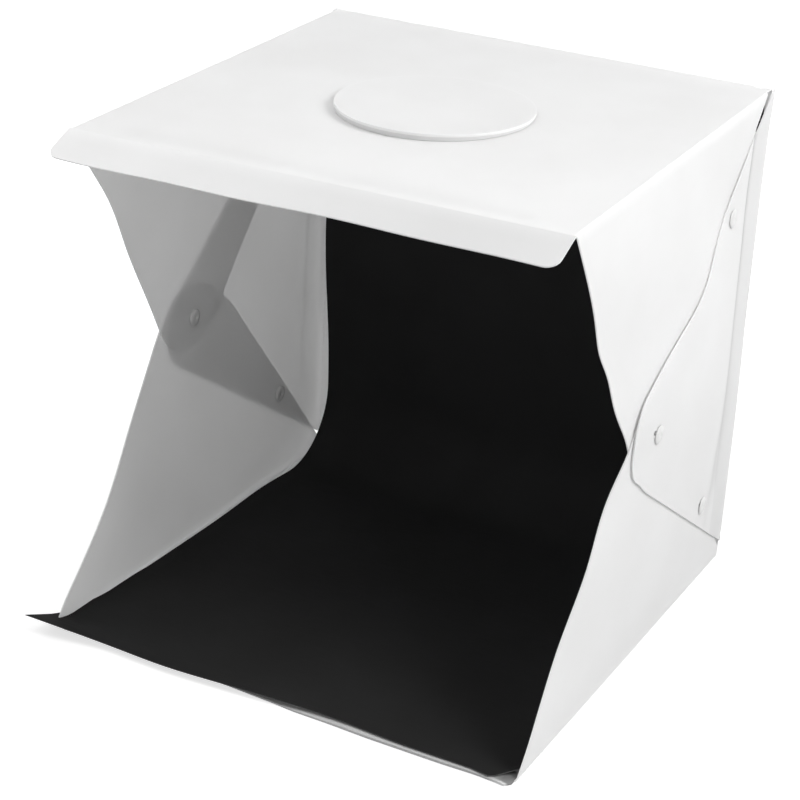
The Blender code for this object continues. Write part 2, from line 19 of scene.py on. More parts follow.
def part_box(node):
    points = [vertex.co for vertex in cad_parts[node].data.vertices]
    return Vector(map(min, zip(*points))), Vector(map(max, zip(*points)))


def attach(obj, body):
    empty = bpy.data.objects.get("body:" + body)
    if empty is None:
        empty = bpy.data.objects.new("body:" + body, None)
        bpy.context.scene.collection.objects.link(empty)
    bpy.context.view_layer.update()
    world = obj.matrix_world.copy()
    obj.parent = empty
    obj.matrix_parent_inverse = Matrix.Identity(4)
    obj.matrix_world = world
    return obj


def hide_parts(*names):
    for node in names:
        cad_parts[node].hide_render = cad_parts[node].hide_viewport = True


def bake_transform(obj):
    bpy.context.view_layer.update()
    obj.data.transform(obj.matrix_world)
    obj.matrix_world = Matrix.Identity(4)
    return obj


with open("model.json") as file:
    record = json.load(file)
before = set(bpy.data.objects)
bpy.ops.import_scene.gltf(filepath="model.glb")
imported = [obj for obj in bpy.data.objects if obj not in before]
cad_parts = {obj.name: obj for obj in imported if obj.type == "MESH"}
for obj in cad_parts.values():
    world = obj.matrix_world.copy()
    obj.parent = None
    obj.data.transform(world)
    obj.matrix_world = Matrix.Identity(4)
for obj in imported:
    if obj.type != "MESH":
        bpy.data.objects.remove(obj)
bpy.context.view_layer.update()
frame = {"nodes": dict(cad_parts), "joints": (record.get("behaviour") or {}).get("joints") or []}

MM = 0.001
SQUARE = math.pi / 2
SIDES = (("left", -1), ("right", 1))

# Camera: place, angles and lens
CAMERA_PLACE = (0.6716, -1.3556, 0.8276)
CAMERA_AZIMUTH = math.radians(26.77)
CAMERA_ELEVATION = math.radians(23.45)
CAMERA_ROLL = math.radians(3.25)
CAMERA_LENS_MM = 93.4
CAMERA_SENSOR_MM = 36.0

# Sizes of the box, from the frame
PANEL_LOW, PANEL_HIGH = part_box("bottom_panel")
HALF_WIDTH = PANEL_HIGH.x
HALF_DEPTH = PANEL_HIGH.y
SHEET = PANEL_HIGH.z - PANEL_LOW.z
BACK_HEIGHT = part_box("left_back_strip")[1].z
HINGES = {joint["name"]: joint for joint in frame["joints"]}
TOP_TILT = math.atan2(HINGES["right_upper_fold"]["axis"][2], HINGES["right_upper_fold"]["axis"][1])
LIP_DROOP = math.radians(22)
TOP_DEPTH = (HALF_DEPTH - HINGES["lip_hinge"]["pos_m"][1]) / math.cos(TOP_TILT)
UPPER_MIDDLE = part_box("right_upper_flap")[1].x - SHEET / 2
LOWER_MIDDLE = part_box("right_lower_flap")[1].x - SHEET / 2
WING_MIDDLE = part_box("right_wing")[1].x - SHEET / 2
STRIP_WIDTH = HALF_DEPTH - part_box("right_back_strip")[0].y
TOP_NORMAL = Vector((0, -math.sin(TOP_TILT), math.cos(TOP_TILT)))

# Folds, as radii of the sheet's middle
FOLD_RADIUS = 1.5 * MM
LIP_FOLD_RADIUS = 5 * MM
FOLD_ROWS = 5
# How far the painted highlight along a fold fades out
HIGHLIGHT_FADE = 2 * MM

# Each name that ends in STEP holds a soft step: (start, length), in metres

# How the walls bow: the greatest travels, and how far the back and the folds hold a side
BACK_NARROWING = 1.1 * MM
BACK_NARROWING_REACH = 0.060
BACK_NARROWING_STEP = (0.15, 0.17)
SIDE_OUTWARD = 4.5 * MM
SIDE_HELD = 0.090
FOLD_HELD = 0.040

# Where the outer sheets close in: above the lower flap's back edge, by its height at the back
# and its slope
FLAP_EDGE_FOOT = 0.110
FLAP_EDGE_SLOPE = 1.19
CLOSING_LENGTH = 0.12
SHEET_GAP = 0.1 * MM

# The bottom panel's front edge: a thicker rim on the right, and how far it stands back
RIGHT_STEP = (-0.040, 0.120)
PANEL_RIM_RISE = 1.0 * MM
PANEL_RIM_STEP = (0.385, 0.025)
PANEL_RIM_END_STEP = (0.190, 0.012)
PANEL_SETBACK_MM = ((-120, 9.0), (-40, 7.5), (0, 5.0), (19, 3.1), (51, 2.6), (83, 1.1),
                    (143, 0.6), (171, 1.4), (189, 0.2), (200, -1.5))
PANEL_SETBACK_STEP = (0.300, 0.112)
PANEL_SETBACK_FADE = 0.004
PANEL_ROWS_MM = (1.0, 3.0, 6.0)

# Painted shade on the bottom panel, by place across and ahead: its front rim, and its front right
# corner, which is lighter toward its tip
RIM_SHADE = 0.28
RIM_SHADE_STEP = (0.395, 0.01)
RIM_SHADE_END_STEP = (0.183, 0.005)
CORNER_SHADE = 0.86
CORNER_ACROSS_STEP = (0.180, 0.006)
CORNER_AHEAD_STEP = (0.392, 0.008)
CORNER_END_STEP = (0.4165, 0.0020)
CORNER_LIGHTER = 0.26
CORNER_LIGHTER_STEP = (0.590, 0.028)

# How high a small twist leaves the top's back left corner
TOP_CORNER_RISE = 3.6 * MM

# The lip: painted shade toward the right, a painted highlight along its fold, and the waves of
# its edge as (height, length, phase)
LIP_SHADE = 0.08
LIP_SHADE_STEP = (-0.15, 0.33)
LIP_HIGHLIGHT = 0.6
LIP_HIGHLIGHT_FADE = 5 * MM
LIP_WAVES = ((0.8 * MM, 0.055, 0.6), (0.5 * MM, 0.021, 0.0))

# Dents of the sides: (from the back, height, depth, length, rise)
DENTS = {
    -1: ((0.350, 0.330, 5.7 * MM, 0.070, 0.045), (0.345, 0.090, 6.4 * MM, 0.080, 0.058)),
    1: ((0.315, 0.275, 6.9 * MM, 0.070, 0.050), (0.290, 0.165, 4.6 * MM, 0.060, 0.035),
        (0.350, 0.080, 3.5 * MM, 0.080, 0.050), (0.090, 0.335, 3.0 * MM, 0.050, 0.040)),
}

# Small shifts of the cut edges in a side's plane, in millimetres:
# (from the back, height, reach, shift forward, shift up)
DRIFTS = {
    "left_wing": ((245, 200, 60, -4.0, -5.0), (150, 272, 48, 7.0, 14.0),
                  (205, 250, 30, 1.0, 2.0)),
    "right_wing": ((253, 190, 40, -5.0, 0.0), (145, 283, 40, -8.0, -3.5),
                   (234, 165, 12, -1.5, 1.2)),
    "left_upper_flap": ((245, 180, 30, 1.5, -4.0), (125, 270, 40, -5.5, -0.6),
                        (268, 205, 30, 1.5, 0.0), (365, 368, 22, 2.0, 0.0)),
    "right_upper_flap": ((262, 205, 25, -4.4, 0.0), (304, 271, 26, -7.0, 0.0)),
    "left_lower_flap": ((225, 228, 45, 6.5, -1.3), (198, 226, 22, 2.0, -4.5),
                        (270, 200, 30, 2.0, 0.0), (330, 105, 40, 1.5, 0.0),
                        (226, 231, 16, 1.0, 1.5), (175, 207, 16, 3.0, -1.0),
                        (403, 12, 30, 2.0, 1.0)),
    "right_lower_flap": ((262, 197, 25, -4.0, 0.0),),
    "right_wing_upper_snap_cap": ((71, 328, 20, -3.5, -1.8),),
    "right_wing_middle_snap_cap": ((216, 199, 20, -10.0, -4.0),),
    "right_wing_lower_snap_cap": ((76, 81, 20, -5.6, -2.3),),
}

# The pressed crease between strip and wing, as (height, depth, spread) with the last two in
# millimetres, and how it sways forward at the bottom, as (travel, height, length)
GROOVE = ((0.040, 0.0, 9), (0.068, 1.6, 9), (0.100, 2.0, 8), (0.145, 1.5, 6), (0.200, 1.1, 4),
          (0.300, 1.1, 2.5), (0.390, 1.2, 2.2))
CREASE_SWAYS = ((5 * MM, 0.150, 0.050), (12 * MM, 0.095, 0.04))
CREASE_PRESS = {-1: 0.15, 1: 1.0}
# Painted shade along the crease, as a share of the groove's slope, and its width as a share of the
# spread
CREASE_SHADE = 0.44
CREASE_SHADE_SPREAD = 0.8
STRIP_ROWS_MM = (6, 4, 2.5, 1.2)
WING_ROWS_MM = (1.2, 2.5, 4, 6, 9)

# Painted shade that makes the strips darker than the wings
STRIP_SHADE = {-1: 0.0, 1: 0.05}

# How far each wing's free edge stands off the flaps: (height, millimetres)
WING_LIFTS = {
    -1: ((0.000, 0.6), (0.060, 0.3), (0.120, 0.2), (0.240, 0.2), (0.265, -0.4), (0.285, -0.8),
         (0.300, -0.8), (0.330, -0.2), (0.345, 0.1), (0.391, 0.2)),
    1: ((0.000, 0.5), (0.060, 0.3), (0.120, 0.2), (0.165, 0.5), (0.205, 0.5), (0.240, 0.2),
        (0.265, -0.3), (0.285, -0.8), (0.300, -0.7), (0.330, 0.0), (0.345, 0.3), (0.391, 0.4)),
}
WING_LIFT_REACH = 0.016
WING_LIFT_START = 0.030

# A snap cap's outline, turned about its axis: (radius, height)
SNAP_PROFILE_MM = ((0, 1.55), (0.9, 1.60), (1.3, 1.85), (2.6, 2.00), (4.6, 1.88), (6.2, 1.55),
                   (7.2, 1.10), (7.5, 0.70), (7.35, 0.45), (6.6, 0.35), (6.3, 0.0), (0, 0.0))
SNAP_SIDES = 40

# The lid: size, seat and bow, then its rim, and the brim that reaches down to the top panel
LID_SCALE = 1.017
LID_SHIFT = (1.2 * MM, 3.2 * MM)
LID_TILT = math.radians(1.3)
LID_BOW = 0.8 * MM
LID_SINK = 0.4
LID_RINGS = (0, 0.2, 0.4, 0.6, 0.75, 0.85, 0.93, 0.98)
LID_SIDES = 160
LID_RIM = 0.35 * MM
# The painted highlight round the rim: where it starts and how long it grows, as shares of the
# radius
LID_RIM_HIGHLIGHT = (0.985, 0.01)
LID_BRIM_DROP = 0.9 * MM
LID_BRIM_WIDTH = 1.2 * MM
LID_FOOT_GAP = 0.35 * MM
# Painted shade on the brim's foot, and how far it fades in
LID_FOOT_SHADE = 0.14
LID_FOOT_FADE = 0.3 * MM

# The backdrop's path: down the back, round a curve, forward, and a bend up at the front
BACKDROP_HALF = 0.197
BACKDROP_THICKNESS = 0.5 * MM
BACKDROP_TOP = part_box("backdrop_sheet")[1].z
BACKDROP_GAP = 0.3 * MM
BACKDROP_FLOOR = SHEET + BACKDROP_THICKNESS / 2 + BACKDROP_GAP
BACKDROP_OFFSET = 3.4 * MM
BACKDROP_CURVE = 0.066
BACKDROP_FRONT = 0.418
BACKDROP_BEND = 0.032
BACKDROP_BEND_ANGLE = math.radians(8)
BACKDROP_BEND_SOFTNESS = 0.006
BACKDROP_ROWS = 120
BACKDROP_COLUMNS = 64

# How the hanging part narrows from the front, bows forward and widens again
BACKDROP_NARROWING = 8 * MM
BACKDROP_NARROWING_LENGTH = 0.60
BACKDROP_BOW = 13 * MM
BACKDROP_BOW_FOOT = 0.020
BACKDROP_BOW_POWER = 1.2
BACKDROP_WIDENING = 4.2 * MM
BACKDROP_WIDENING_STEP = (0.100, 0.160)

# How the front part lies: level on the right, shifted ahead by a step, a bump, which is
# (millimetres, middle, reach), and a step back on the right, with a wave (height, length, phase)
BACKDROP_FRONT_PART = (0.345, 0.073)
BACKDROP_FRONT_POWER = 1.5
BACKDROP_LEVEL_FADE = 0.030
BACKDROP_RIM_FADE = 0.10
BACKDROP_AHEAD_MM = 5
BACKDROP_AHEAD_STEP = (0.020, 0.100)
BACKDROP_BUMP = (3.5, -0.090, 0.050)
BACKDROP_BEHIND_MM = 6.7
BACKDROP_WAVE = (0.25 * MM, 0.045, 1.0)
BACKDROP_WAVE_STEP = (0.25, 0.12)

# Shifts of the front right corner: (from the middle, aside, forward, up)
BACKDROP_CORNER_MM = ((165.0, 0.0, 0.0, 0.0), (184.7, -4.0, 2.4, 0.3), (190.8, -5.7, -0.3, 0.5),
                      (197.0, 0.0, -14.8, 2.6))
BACKDROP_CORNER_STEP = (0.380, 0.040)

# The left edge: how high it curls by distance from the back, how far its front corner is drawn in
# and ahead, and a second curl farther back as (height, middle, reach)
BACKDROP_LEFT_CURL_MM = ((290, 0.0), (310, 1.2), (376, 1.8), (388, 2.0), (396, 3.2), (418, 9.5))
BACKDROP_LEFT_STEP = (0.140, 0.060)
BACKDROP_LEFT_IN = 0.0195
BACKDROP_LEFT_AHEAD = 0.012
BACKDROP_SIDE_CURL = (3.2 * MM, 0.115, 0.050)
BACKDROP_SIDE_CURL_STEP = (0.165, 0.030)
BACKDROP_SIDE_CURL_FADE = 0.050

# The rounding of the loop pads' edges
PAD_CORNER = 0.2 * MM

# Mesh spacing, and how far inner points stay from rows and outlines, as shares of it
PANEL_SPACING = 12 * MM
STRIP_SPACING = 8 * MM
BOTTOM_SPACING = 7 * MM
SIDE_SPACING = 6 * MM
ROW_CLEARANCE = 0.35
EDGE_CLEARANCE = 0.3
BATCH = 500

# Limits: points that are one, also for the triangles' maker, points at an edge, a straight turn,
# a face that looks along a direction, the height under which a triangle only spans a straight run
# of the outline, and the angles from which an edge stays sharp
WELD = 0.001 * MM
TOUCHING_MM = 1e-5
EDGE_REACH = 0.6 * MM
WIDE_EDGE_REACH = 1.5 * MM
STRAIGHT_TURN = 1e-4
FACING = 0.9
SLIVER = 0.005 * MM
SHARP_SHEET = math.radians(50)
SHARP_ROUND = math.radians(45)

# The mix node's sockets for its share and two colours, and for the mixed colour
MIX_INPUTS = (0, 6, 7)
MIX_RESULT = 2

# Light from the room: (axis, sign, strength straight along it)
SKY = ((0, 1, 0.45), (1, 1, 0.35), (1, -1, 0.66), (2, 1, 0.05))
LIGHT_WHITE = (1, 1, 1, 1)

# Lamps: (name, place, aim, power)
LAMPS = (("front_lamp", (-0.5, -0.7, 1.9), (0, 0, 0.30), 10.6),
         ("right_lamp", (1.6, 0.2, 1.5), (0, 0, 0.25), 33.5),
         ("left_lamp", (-1.6, 0.2, 1.5), (0, 0, 0.25), 9.3))
LAMP_SIZE = 1.2

# The floor, and its glow as (near, far, strength near, strength far)
FLOOR_REACH = 3.0
FLOOR_LEVEL = -0.3 * MM
FLOOR_GLOW = (0.28, 0.75, 0.70, 1.05)


def smooth(value):
    """A soft step from 0 at 0 to 1 at 1."""
    t = np.clip(value, 0, 1)
    return t * t * (3 - 2 * t)


def ramp(value, start, length):
    """A soft step that begins at start and ends a length farther on."""
    return smooth((value - start) / length)


def hump(value):
    """A soft bump, 1 at 0."""
    return np.exp(-np.square(value))


def bump(value, height, middle, reach):
    """A soft bump of a height about its middle."""
    return height * hump((value - middle) / reach)


def placed(name, data):
    """A new object of the scene, for a mesh, a lamp or the camera."""
    item = bpy.data.objects.new(name, data)
    bpy.context.scene.collection.objects.link(item)
    return item


# Bowing of the box's walls


def top_height(d):
    """Height of the top panel's upper face at a distance from the back."""
    return BACK_HEIGHT - d * math.tan(TOP_TILT)


def wall_arch(d, z):
    """0 at the bottom and top folds, 1 halfway between."""
    return np.sin(np.pi * np.clip(z / top_height(d), 0, 1))


def side_outward(sign, d, z):
    """How far a side wall stands out from its plane."""
    from_folds = smooth(z / FOLD_HELD) * smooth((top_height(d) - z) / FOLD_HELD)
    out = SIDE_OUTWARD * wall_arch(d, z) * (1 - hump(d / SIDE_HELD))
    narrowing = BACK_NARROWING * hump(d / BACK_NARROWING_REACH) * ramp(z, *BACK_NARROWING_STEP)
    out = out - narrowing * from_folds
    for at, up, depth, length, rise in DENTS[sign]:
        out = out - depth * from_folds * hump((d - at) / length) * hump((z - up) / rise)
    return out


def closing(d, z):
    """How far the outer sheet closes in where no lower flap lies behind it."""
    back_edge = FLAP_EDGE_FOOT + FLAP_EDGE_SLOPE * d
    return (LOWER_MIDDLE - UPPER_MIDDLE - SHEET_GAP) * ramp(z, back_edge, CLOSING_LENGTH)


def side_points(sign, across, d, z, outer=False):
    """Points of a side sheet that bows with its wall."""
    out = side_outward(sign, d, z) - (closing(d, z) if outer else 0)
    return np.column_stack([sign * (across + out), HALF_DEPTH - d, z])


def front_right(x):
    """0 on the left of the box's middle, 1 on its right."""
    return ramp(x, *RIGHT_STEP)


def panel_rise(x, d):
    """How far the bottom panel's thicker front rim stands above the rest."""
    across = front_right(x) * (1 - ramp(x, *PANEL_RIM_END_STEP))
    return PANEL_RIM_RISE * across * ramp(d, *PANEL_RIM_STEP)


def panel_setback(x, d):
    """How far the bottom panel's front edge stands back."""
    places, setbacks = zip(*PANEL_SETBACK_MM)
    return np.interp(x / MM, places, setbacks) * MM * ramp(d, *PANEL_SETBACK_STEP)


def corner_shade(x, d):
    """Painted shade on the bottom panel along its front rim and in its front right corner."""
    lighter = CORNER_LIGHTER * ramp(x + d, *CORNER_LIGHTER_STEP)
    corner = (CORNER_SHADE - lighter) * ramp(x, *CORNER_ACROSS_STEP) * ramp(d, *CORNER_AHEAD_STEP)
    corner = corner * (1 - ramp(d, *CORNER_END_STEP))
    rim = RIM_SHADE * (1 - ramp(x, *RIM_SHADE_END_STEP)) * ramp(d, *RIM_SHADE_STEP)
    return np.maximum(corner, rim)


def drifted(name, d, z):
    """Places on a side's sheet after the small shifts of its edges."""
    moved_d, moved_z = d.copy(), z.copy()
    for row in DRIFTS.get(name, ()):
        at, up, reach, ahead, rise = (value * MM for value in row)
        share = hump(np.hypot(d - at, z - up) / reach)
        moved_d += ahead * share
        moved_z += rise * share
    return moved_d, moved_z


def twisted(points):
    """Points after the small twist that leaves the top's back left corner high."""
    high = np.clip(points[:, 2] / BACK_HEIGHT, 0, 1) ** 2
    rear = np.clip((points[:, 1] + HALF_DEPTH) / (2 * HALF_DEPTH), 0, 1)
    left = np.clip((HALF_WIDTH - points[:, 0]) / (2 * HALF_WIDTH), 0, 1)
    moved = points.copy()
    moved[:, 2] += TOP_CORNER_RISE * high * rear * left
    return moved


# Materials


class Nodes:
    """Short calls for the nodes of one material or world."""

    def __init__(self, owner):
        owner.use_nodes = True
        self.owner = owner
        self.tree = owner.node_tree
        self.tree.nodes.clear()
        self.coordinates = self.add("TexCoord")
        self.place = self.coordinates.outputs["Object"]

    def add(self, kind, settings=None, **inputs):
        node = self.tree.nodes.new("ShaderNode" + kind)
        for key, value in (settings or {}).items():
            setattr(node, key, value)
        for key, value in inputs.items():
            self.feed(node.inputs[key.replace("_", " ")], value)
        return node

    def feed(self, socket, value):
        if isinstance(value, bpy.types.NodeSocket):
            self.tree.links.new(value, socket)
        else:
            socket.default_value = value

    def feed_all(self, sockets, values):
        for socket, value in zip(sockets, values):
            self.feed(socket, value)

    def noise(self, scale, detail=2.0, roughness=0.5, stretch=(1, 1, 1)):
        mapped = self.add("Mapping", Vector=self.place, Scale=stretch)
        made = self.add("TexNoise", Vector=mapped.outputs[0], Scale=scale, Detail=detail,
                        Roughness=roughness)
        return made.outputs["Fac"]

    def spread(self, value, low, high, out_low=0.0, out_high=1.0):
        made = self.add("MapRange", Value=value, From_Min=low, From_Max=high,
                        To_Min=out_low, To_Max=out_high)
        return made.outputs[0]

    def blend(self, share, first, second):
        """Two colours, mixed by a share of the second."""
        made = self.add("Mix", {"data_type": "RGBA"})
        self.feed_all([made.inputs[index] for index in MIX_INPUTS], (share, first, second))
        return made.outputs[MIX_RESULT]

    def total(self, first, second, operation="ADD"):
        made = self.add("Math", {"operation": operation})
        self.feed_all(made.inputs, (first, second))
        return made.outputs[0]

    def bump(self, height, distance, strength=1.0, normal=None):
        made = self.add("Bump", Height=height, Distance=distance, Strength=strength)
        if normal is not None:
            self.feed(made.inputs["Normal"], normal)
        return made.outputs[0]

    def mark(self, kind):
        """The strength that a sheet's points carry under a name."""
        return self.add("Attribute", {"attribute_name": kind}).outputs["Fac"]

    def shell(self, colour, roughness, normal, shine, **more):
        """A surface with a colour of its own and a glossy skin."""
        return self.add("BsdfPrincipled", Base_Color=colour, Roughness=roughness, Normal=normal,
                        Specular_IOR_Level=shine, **more)

    def mixed(self, share, first, second):
        """Two shaders, mixed by a share of the second."""
        made = self.add("MixShader")
        self.feed_all(made.inputs, (share, first.outputs[0], second.outputs[0]))
        return made

    def seen(self):
        """1 for what is seen directly, in a reflection or through something."""
        path = self.add("LightPath").outputs
        direct = self.total(path["Is Camera Ray"], path["Is Glossy Ray"], "MAXIMUM")
        return self.total(direct, path["Is Transmission Ray"], "MAXIMUM")

    def finish(self, shader, kind="OutputMaterial"):
        """Shows a shader, and gives the finished material or world."""
        self.add(kind, Surface=shader.outputs[0])
        return self.owner


def grey(value, warmth=0.0):
    """A grey, or one that leans a little to red or blue."""
    return (value + warmth, value, value - warmth, 1)


def white_sheet(name, tone=0.93, through=0.335, roughness=0.42):
    """Fine-grained white plastic sheet that lets some light through."""
    n = Nodes(bpy.data.materials.new(name))
    clouds = n.spread(n.noise(scale=11, detail=3), 0.35, 0.65)
    colour = n.blend(clouds, grey(tone - 0.012, 0.001), grey(tone + 0.012, 0.0))
    # Painted highlight along the folds and round the lid's rim, and painted shade that darkens
    # toward black, from the marks of the sheet's points
    colour = n.blend(n.mark("painted_highlight"), colour, grey(min(tone + 0.045, 0.99)))
    colour = n.blend(n.mark("shaded"), colour, grey(0.015))
    streaks = n.noise(60, 2, 0.6, stretch=(1, 9, 1))
    rough = n.spread(streaks, 0.3, 0.7, roughness - 0.06, roughness + 0.08)
    waves = n.bump(n.noise(scale=14, detail=1), 0.5 * MM, 0.35)
    normal = n.bump(n.noise(2300, 2, 0.6), 0.03 * MM, 0.30, waves)
    behind = n.add("BsdfTranslucent", Color=colour, Normal=normal)
    return n.finish(n.mixed(through, n.shell(colour, rough, normal, 0.35), behind))


def plastic(name, base, roughness, shine=0.4, grain=0.02, mottle=0.01):
    """Moulded plastic with a fine grain and slightly uneven colour and gloss."""
    n = Nodes(bpy.data.materials.new(name))
    low = tuple(max(0, value - mottle) for value in base)
    high = tuple(value + mottle for value in base)
    colour = n.blend(n.spread(n.noise(scale=70, detail=3), 0.3, 0.7), (*low, 1), (*high, 1))
    edge = n.add("NewGeometry").outputs["Pointiness"]
    worn = n.spread(edge, 0.52, 0.60, 0, 0.35)
    lighter = tuple(value + (1 - value) * 0.25 for value in base)
    colour = n.blend(worn, colour, (*lighter, 1))
    patches = n.noise(scale=220, detail=2)
    rough = n.spread(patches, 0.3, 0.7, roughness - 0.05, roughness + 0.08)
    normal = n.bump(n.noise(1500, 2, 0.6), grain * MM, 0.5)
    return n.finish(n.shell(colour, rough, normal, shine))


def pile_cloth(name, tone):
    """Hook-and-loop tape: a dense tangle of short threads."""
    n = Nodes(bpy.data.materials.new(name))
    threads = n.add("TexVoronoi", {"feature": "F1"}, Vector=n.place, Scale=1400)
    tangle = n.total(threads.outputs["Distance"], n.noise(2600, 4, 0.7))
    colour = n.blend(n.spread(tangle, 0.4, 1.3), grey(tone - 0.20, 0.004), grey(tone, 0.002))
    normal = n.bump(tangle, 0.35 * MM, 0.9)
    return n.finish(n.shell(colour, 0.95, normal, 0.15, Sheen_Weight=0.35))


def black_plastic_sheet(name):
    """Matt black sheet with a fine grain, faint handling streaks and soft waves."""
    n = Nodes(bpy.data.materials.new(name))
    clouds = n.spread(n.noise(scale=8, detail=3), 0.35, 0.65)
    colour = n.blend(clouds, grey(0.0190, 0.0001), grey(0.0225, -0.0001))
    rough = n.spread(n.noise(45, 3, 0.6, stretch=(1, 6, 1)), 0.3, 0.7, 0.52, 0.66)
    waves = n.bump(n.noise(scale=10, detail=1), 0.6 * MM, 0.35)
    normal = n.bump(n.noise(2600, 2, 0.6), 0.03 * MM, 0.4, waves)
    return n.finish(n.shell(colour, rough, normal, 0.01))


white = white_sheet("white_sheet")
white_edge = white_sheet("white_sheet_edge", 0.96, 0.30, 0.55)
black = black_plastic_sheet("black_sheet")
black_edge = plastic("black_sheet_edge", (0.020, 0.020, 0.021), 0.5, 0.25, mottle=0.003)
snap_white = plastic("snap_plastic", (0.69, 0.69, 0.685), 0.32, 0.4, grain=0.01)
tape_white = pile_cloth("hook_and_loop", 0.86)
channel_white = plastic("channel_plastic", (0.84, 0.84, 0.835), 0.38)
board_white = plastic("led_board", (0.76, 0.78, 0.75), 0.45)
diffuser_white = plastic("diffuser", (0.93, 0.93, 0.91), 0.55)
lead_white = plastic("flat_lead", (0.82, 0.82, 0.80), 0.45)
inlet_black = plastic("inlet_plastic", (0.02, 0.02, 0.021), 0.38, grain=0.04)


# Outlines, taken from the frame's flat plates


def plate_loops(node, normal):
    """The outline and holes of a plate's face that looks along normal, in 3-D points."""
    mesh = frame["nodes"][node].data
    places, ids = {}, []
    for vertex in mesh.vertices:
        key = tuple(round(value / WELD) for value in vertex.co)
        ids.append(places.setdefault(key, len(places)))
    points = np.array(list(places), float) * WELD
    directed = set()
    for face in mesh.polygons:
        if face.normal.dot(normal) > FACING:
            ring = [ids[index] for index in face.vertices]
            directed.update(zip(ring, ring[1:] + ring[:1]))
    following = {a: b for a, b in directed if (b, a) not in directed}
    loops = []
    while following:
        start = here = min(following)
        loop = []
        while here in following:
            loop.append(here)
            here = following.pop(here)
        if here == start:
            loops.append(points[loop])
    return sorted(loops, key=lambda loop: -np.ptp(loop, axis=0).max())


def merged(loop):
    """A loop without the points that lie on a straight run."""
    kept = []
    for index, point in enumerate(loop):
        before = point - loop[index - 1]
        after = loop[(index + 1) % len(loop)] - point
        turn = abs(before[0] * after[1] - before[1] * after[0])
        if turn > STRAIGHT_TURN * np.linalg.norm(before) * np.linalg.norm(after):
            kept.append(point)
    return np.array(kept)


def divided(loop, spacing, rows):
    """A loop with points at most spacing apart, and one where it crosses each row."""
    out = []
    for a, b in zip(loop, np.roll(loop, -1, axis=0)):
        count = max(1, math.ceil(np.linalg.norm(b - a) / spacing))
        shares = set(np.arange(count) / count)
        for row in rows:
            if (a[1] - row) * (b[1] - row) < 0:
                shares.add((row - a[1]) / (b[1] - a[1]))
        out += [a + share * (b - a) for share in sorted(shares)]
    return np.array(out)


def inside(points, loops):
    """True for each 2-D point that lies inside the outline and in no hole."""
    crossings = np.zeros(len(points), int)
    x, y = points[:, 0], points[:, 1]
    for loop in loops:
        for (ax, ay), (bx, by) in zip(loop, np.roll(loop, -1, axis=0)):
            spans = (ay > y) != (by > y)
            with np.errstate(divide="ignore", invalid="ignore"):
                at = ax + (y - ay) * (bx - ax) / (by - ay)
            crossings += spans & (x < at)
    return crossings % 2 == 1


def clear_of(points, loops, distance):
    """True for each point at least a distance from every loop's corner points."""
    corners = np.concatenate(loops)
    keep = np.ones(len(points), bool)
    for start in range(0, len(points), BATCH):
        gaps = points[start:start + BATCH, None] - corners[None]
        keep[start:start + BATCH] = np.square(gaps).sum(2).min(1) > distance ** 2
    return keep


def wide(corners):
    """True for each triangle that isn't a sliver along a straight run of the outline."""
    sides = corners - np.roll(corners, 1, axis=1)
    doubled = abs(sides[:, 0, 0] * sides[:, 1, 1] - sides[:, 0, 1] * sides[:, 1, 0])
    return doubled > SLIVER * np.linalg.norm(sides, axis=2).max(1)


def meshed(loops, spacing, rows=()):
    """2-D points and triangles that fill an outline, with extra rows of points."""
    loops = [divided(merged(loop), spacing, rows) for loop in loops]
    low, high = loops[0].min(0), loops[0].max(0)
    grid = [np.arange(low[k] + spacing / 2, high[k], spacing) for k in (0, 1)]
    ups = [up for up in grid[1] if all(abs(up - row) > spacing * ROW_CLEARANCE for row in rows)]
    levels = ups + list(rows)
    inner = np.array([(across, up) for up in levels for across in grid[0]])
    inner = inner[inside(inner, loops)]
    inner = inner[clear_of(inner, loops, spacing * EDGE_CLEARANCE)]
    points, edges = [], []
    for loop in loops:
        first = len(points)
        points += [tuple(point) for point in loop]
        edges += [(first + k, first + (k + 1) % len(loop)) for k in range(len(loop))]
    points += [tuple(point) for point in inner]
    flat = [Vector(point) / MM for point in points]
    done = delaunay_2d_cdt(flat, edges, [], 0, TOUCHING_MM)
    found = np.array([tuple(point) for point in done[0]]) * MM
    faces = np.array([tuple(face) for face in done[2]])
    faces = faces[inside(found[faces].mean(1), loops)]
    faces = faces[wide(found[faces])]
    used = np.unique(faces)
    renumber = np.full(len(found), -1)
    renumber[used] = np.arange(len(used))
    return found[used], renumber[faces]


def add_mark(mesh, kind, values):
    """A strength at each point of a mesh, for the painted highlight or painted shade of its
    finish.
    """
    layer = mesh.attributes.new(kind, "FLOAT", "POINT")
    layer.data.foreach_set("value", values.astype(np.float32))


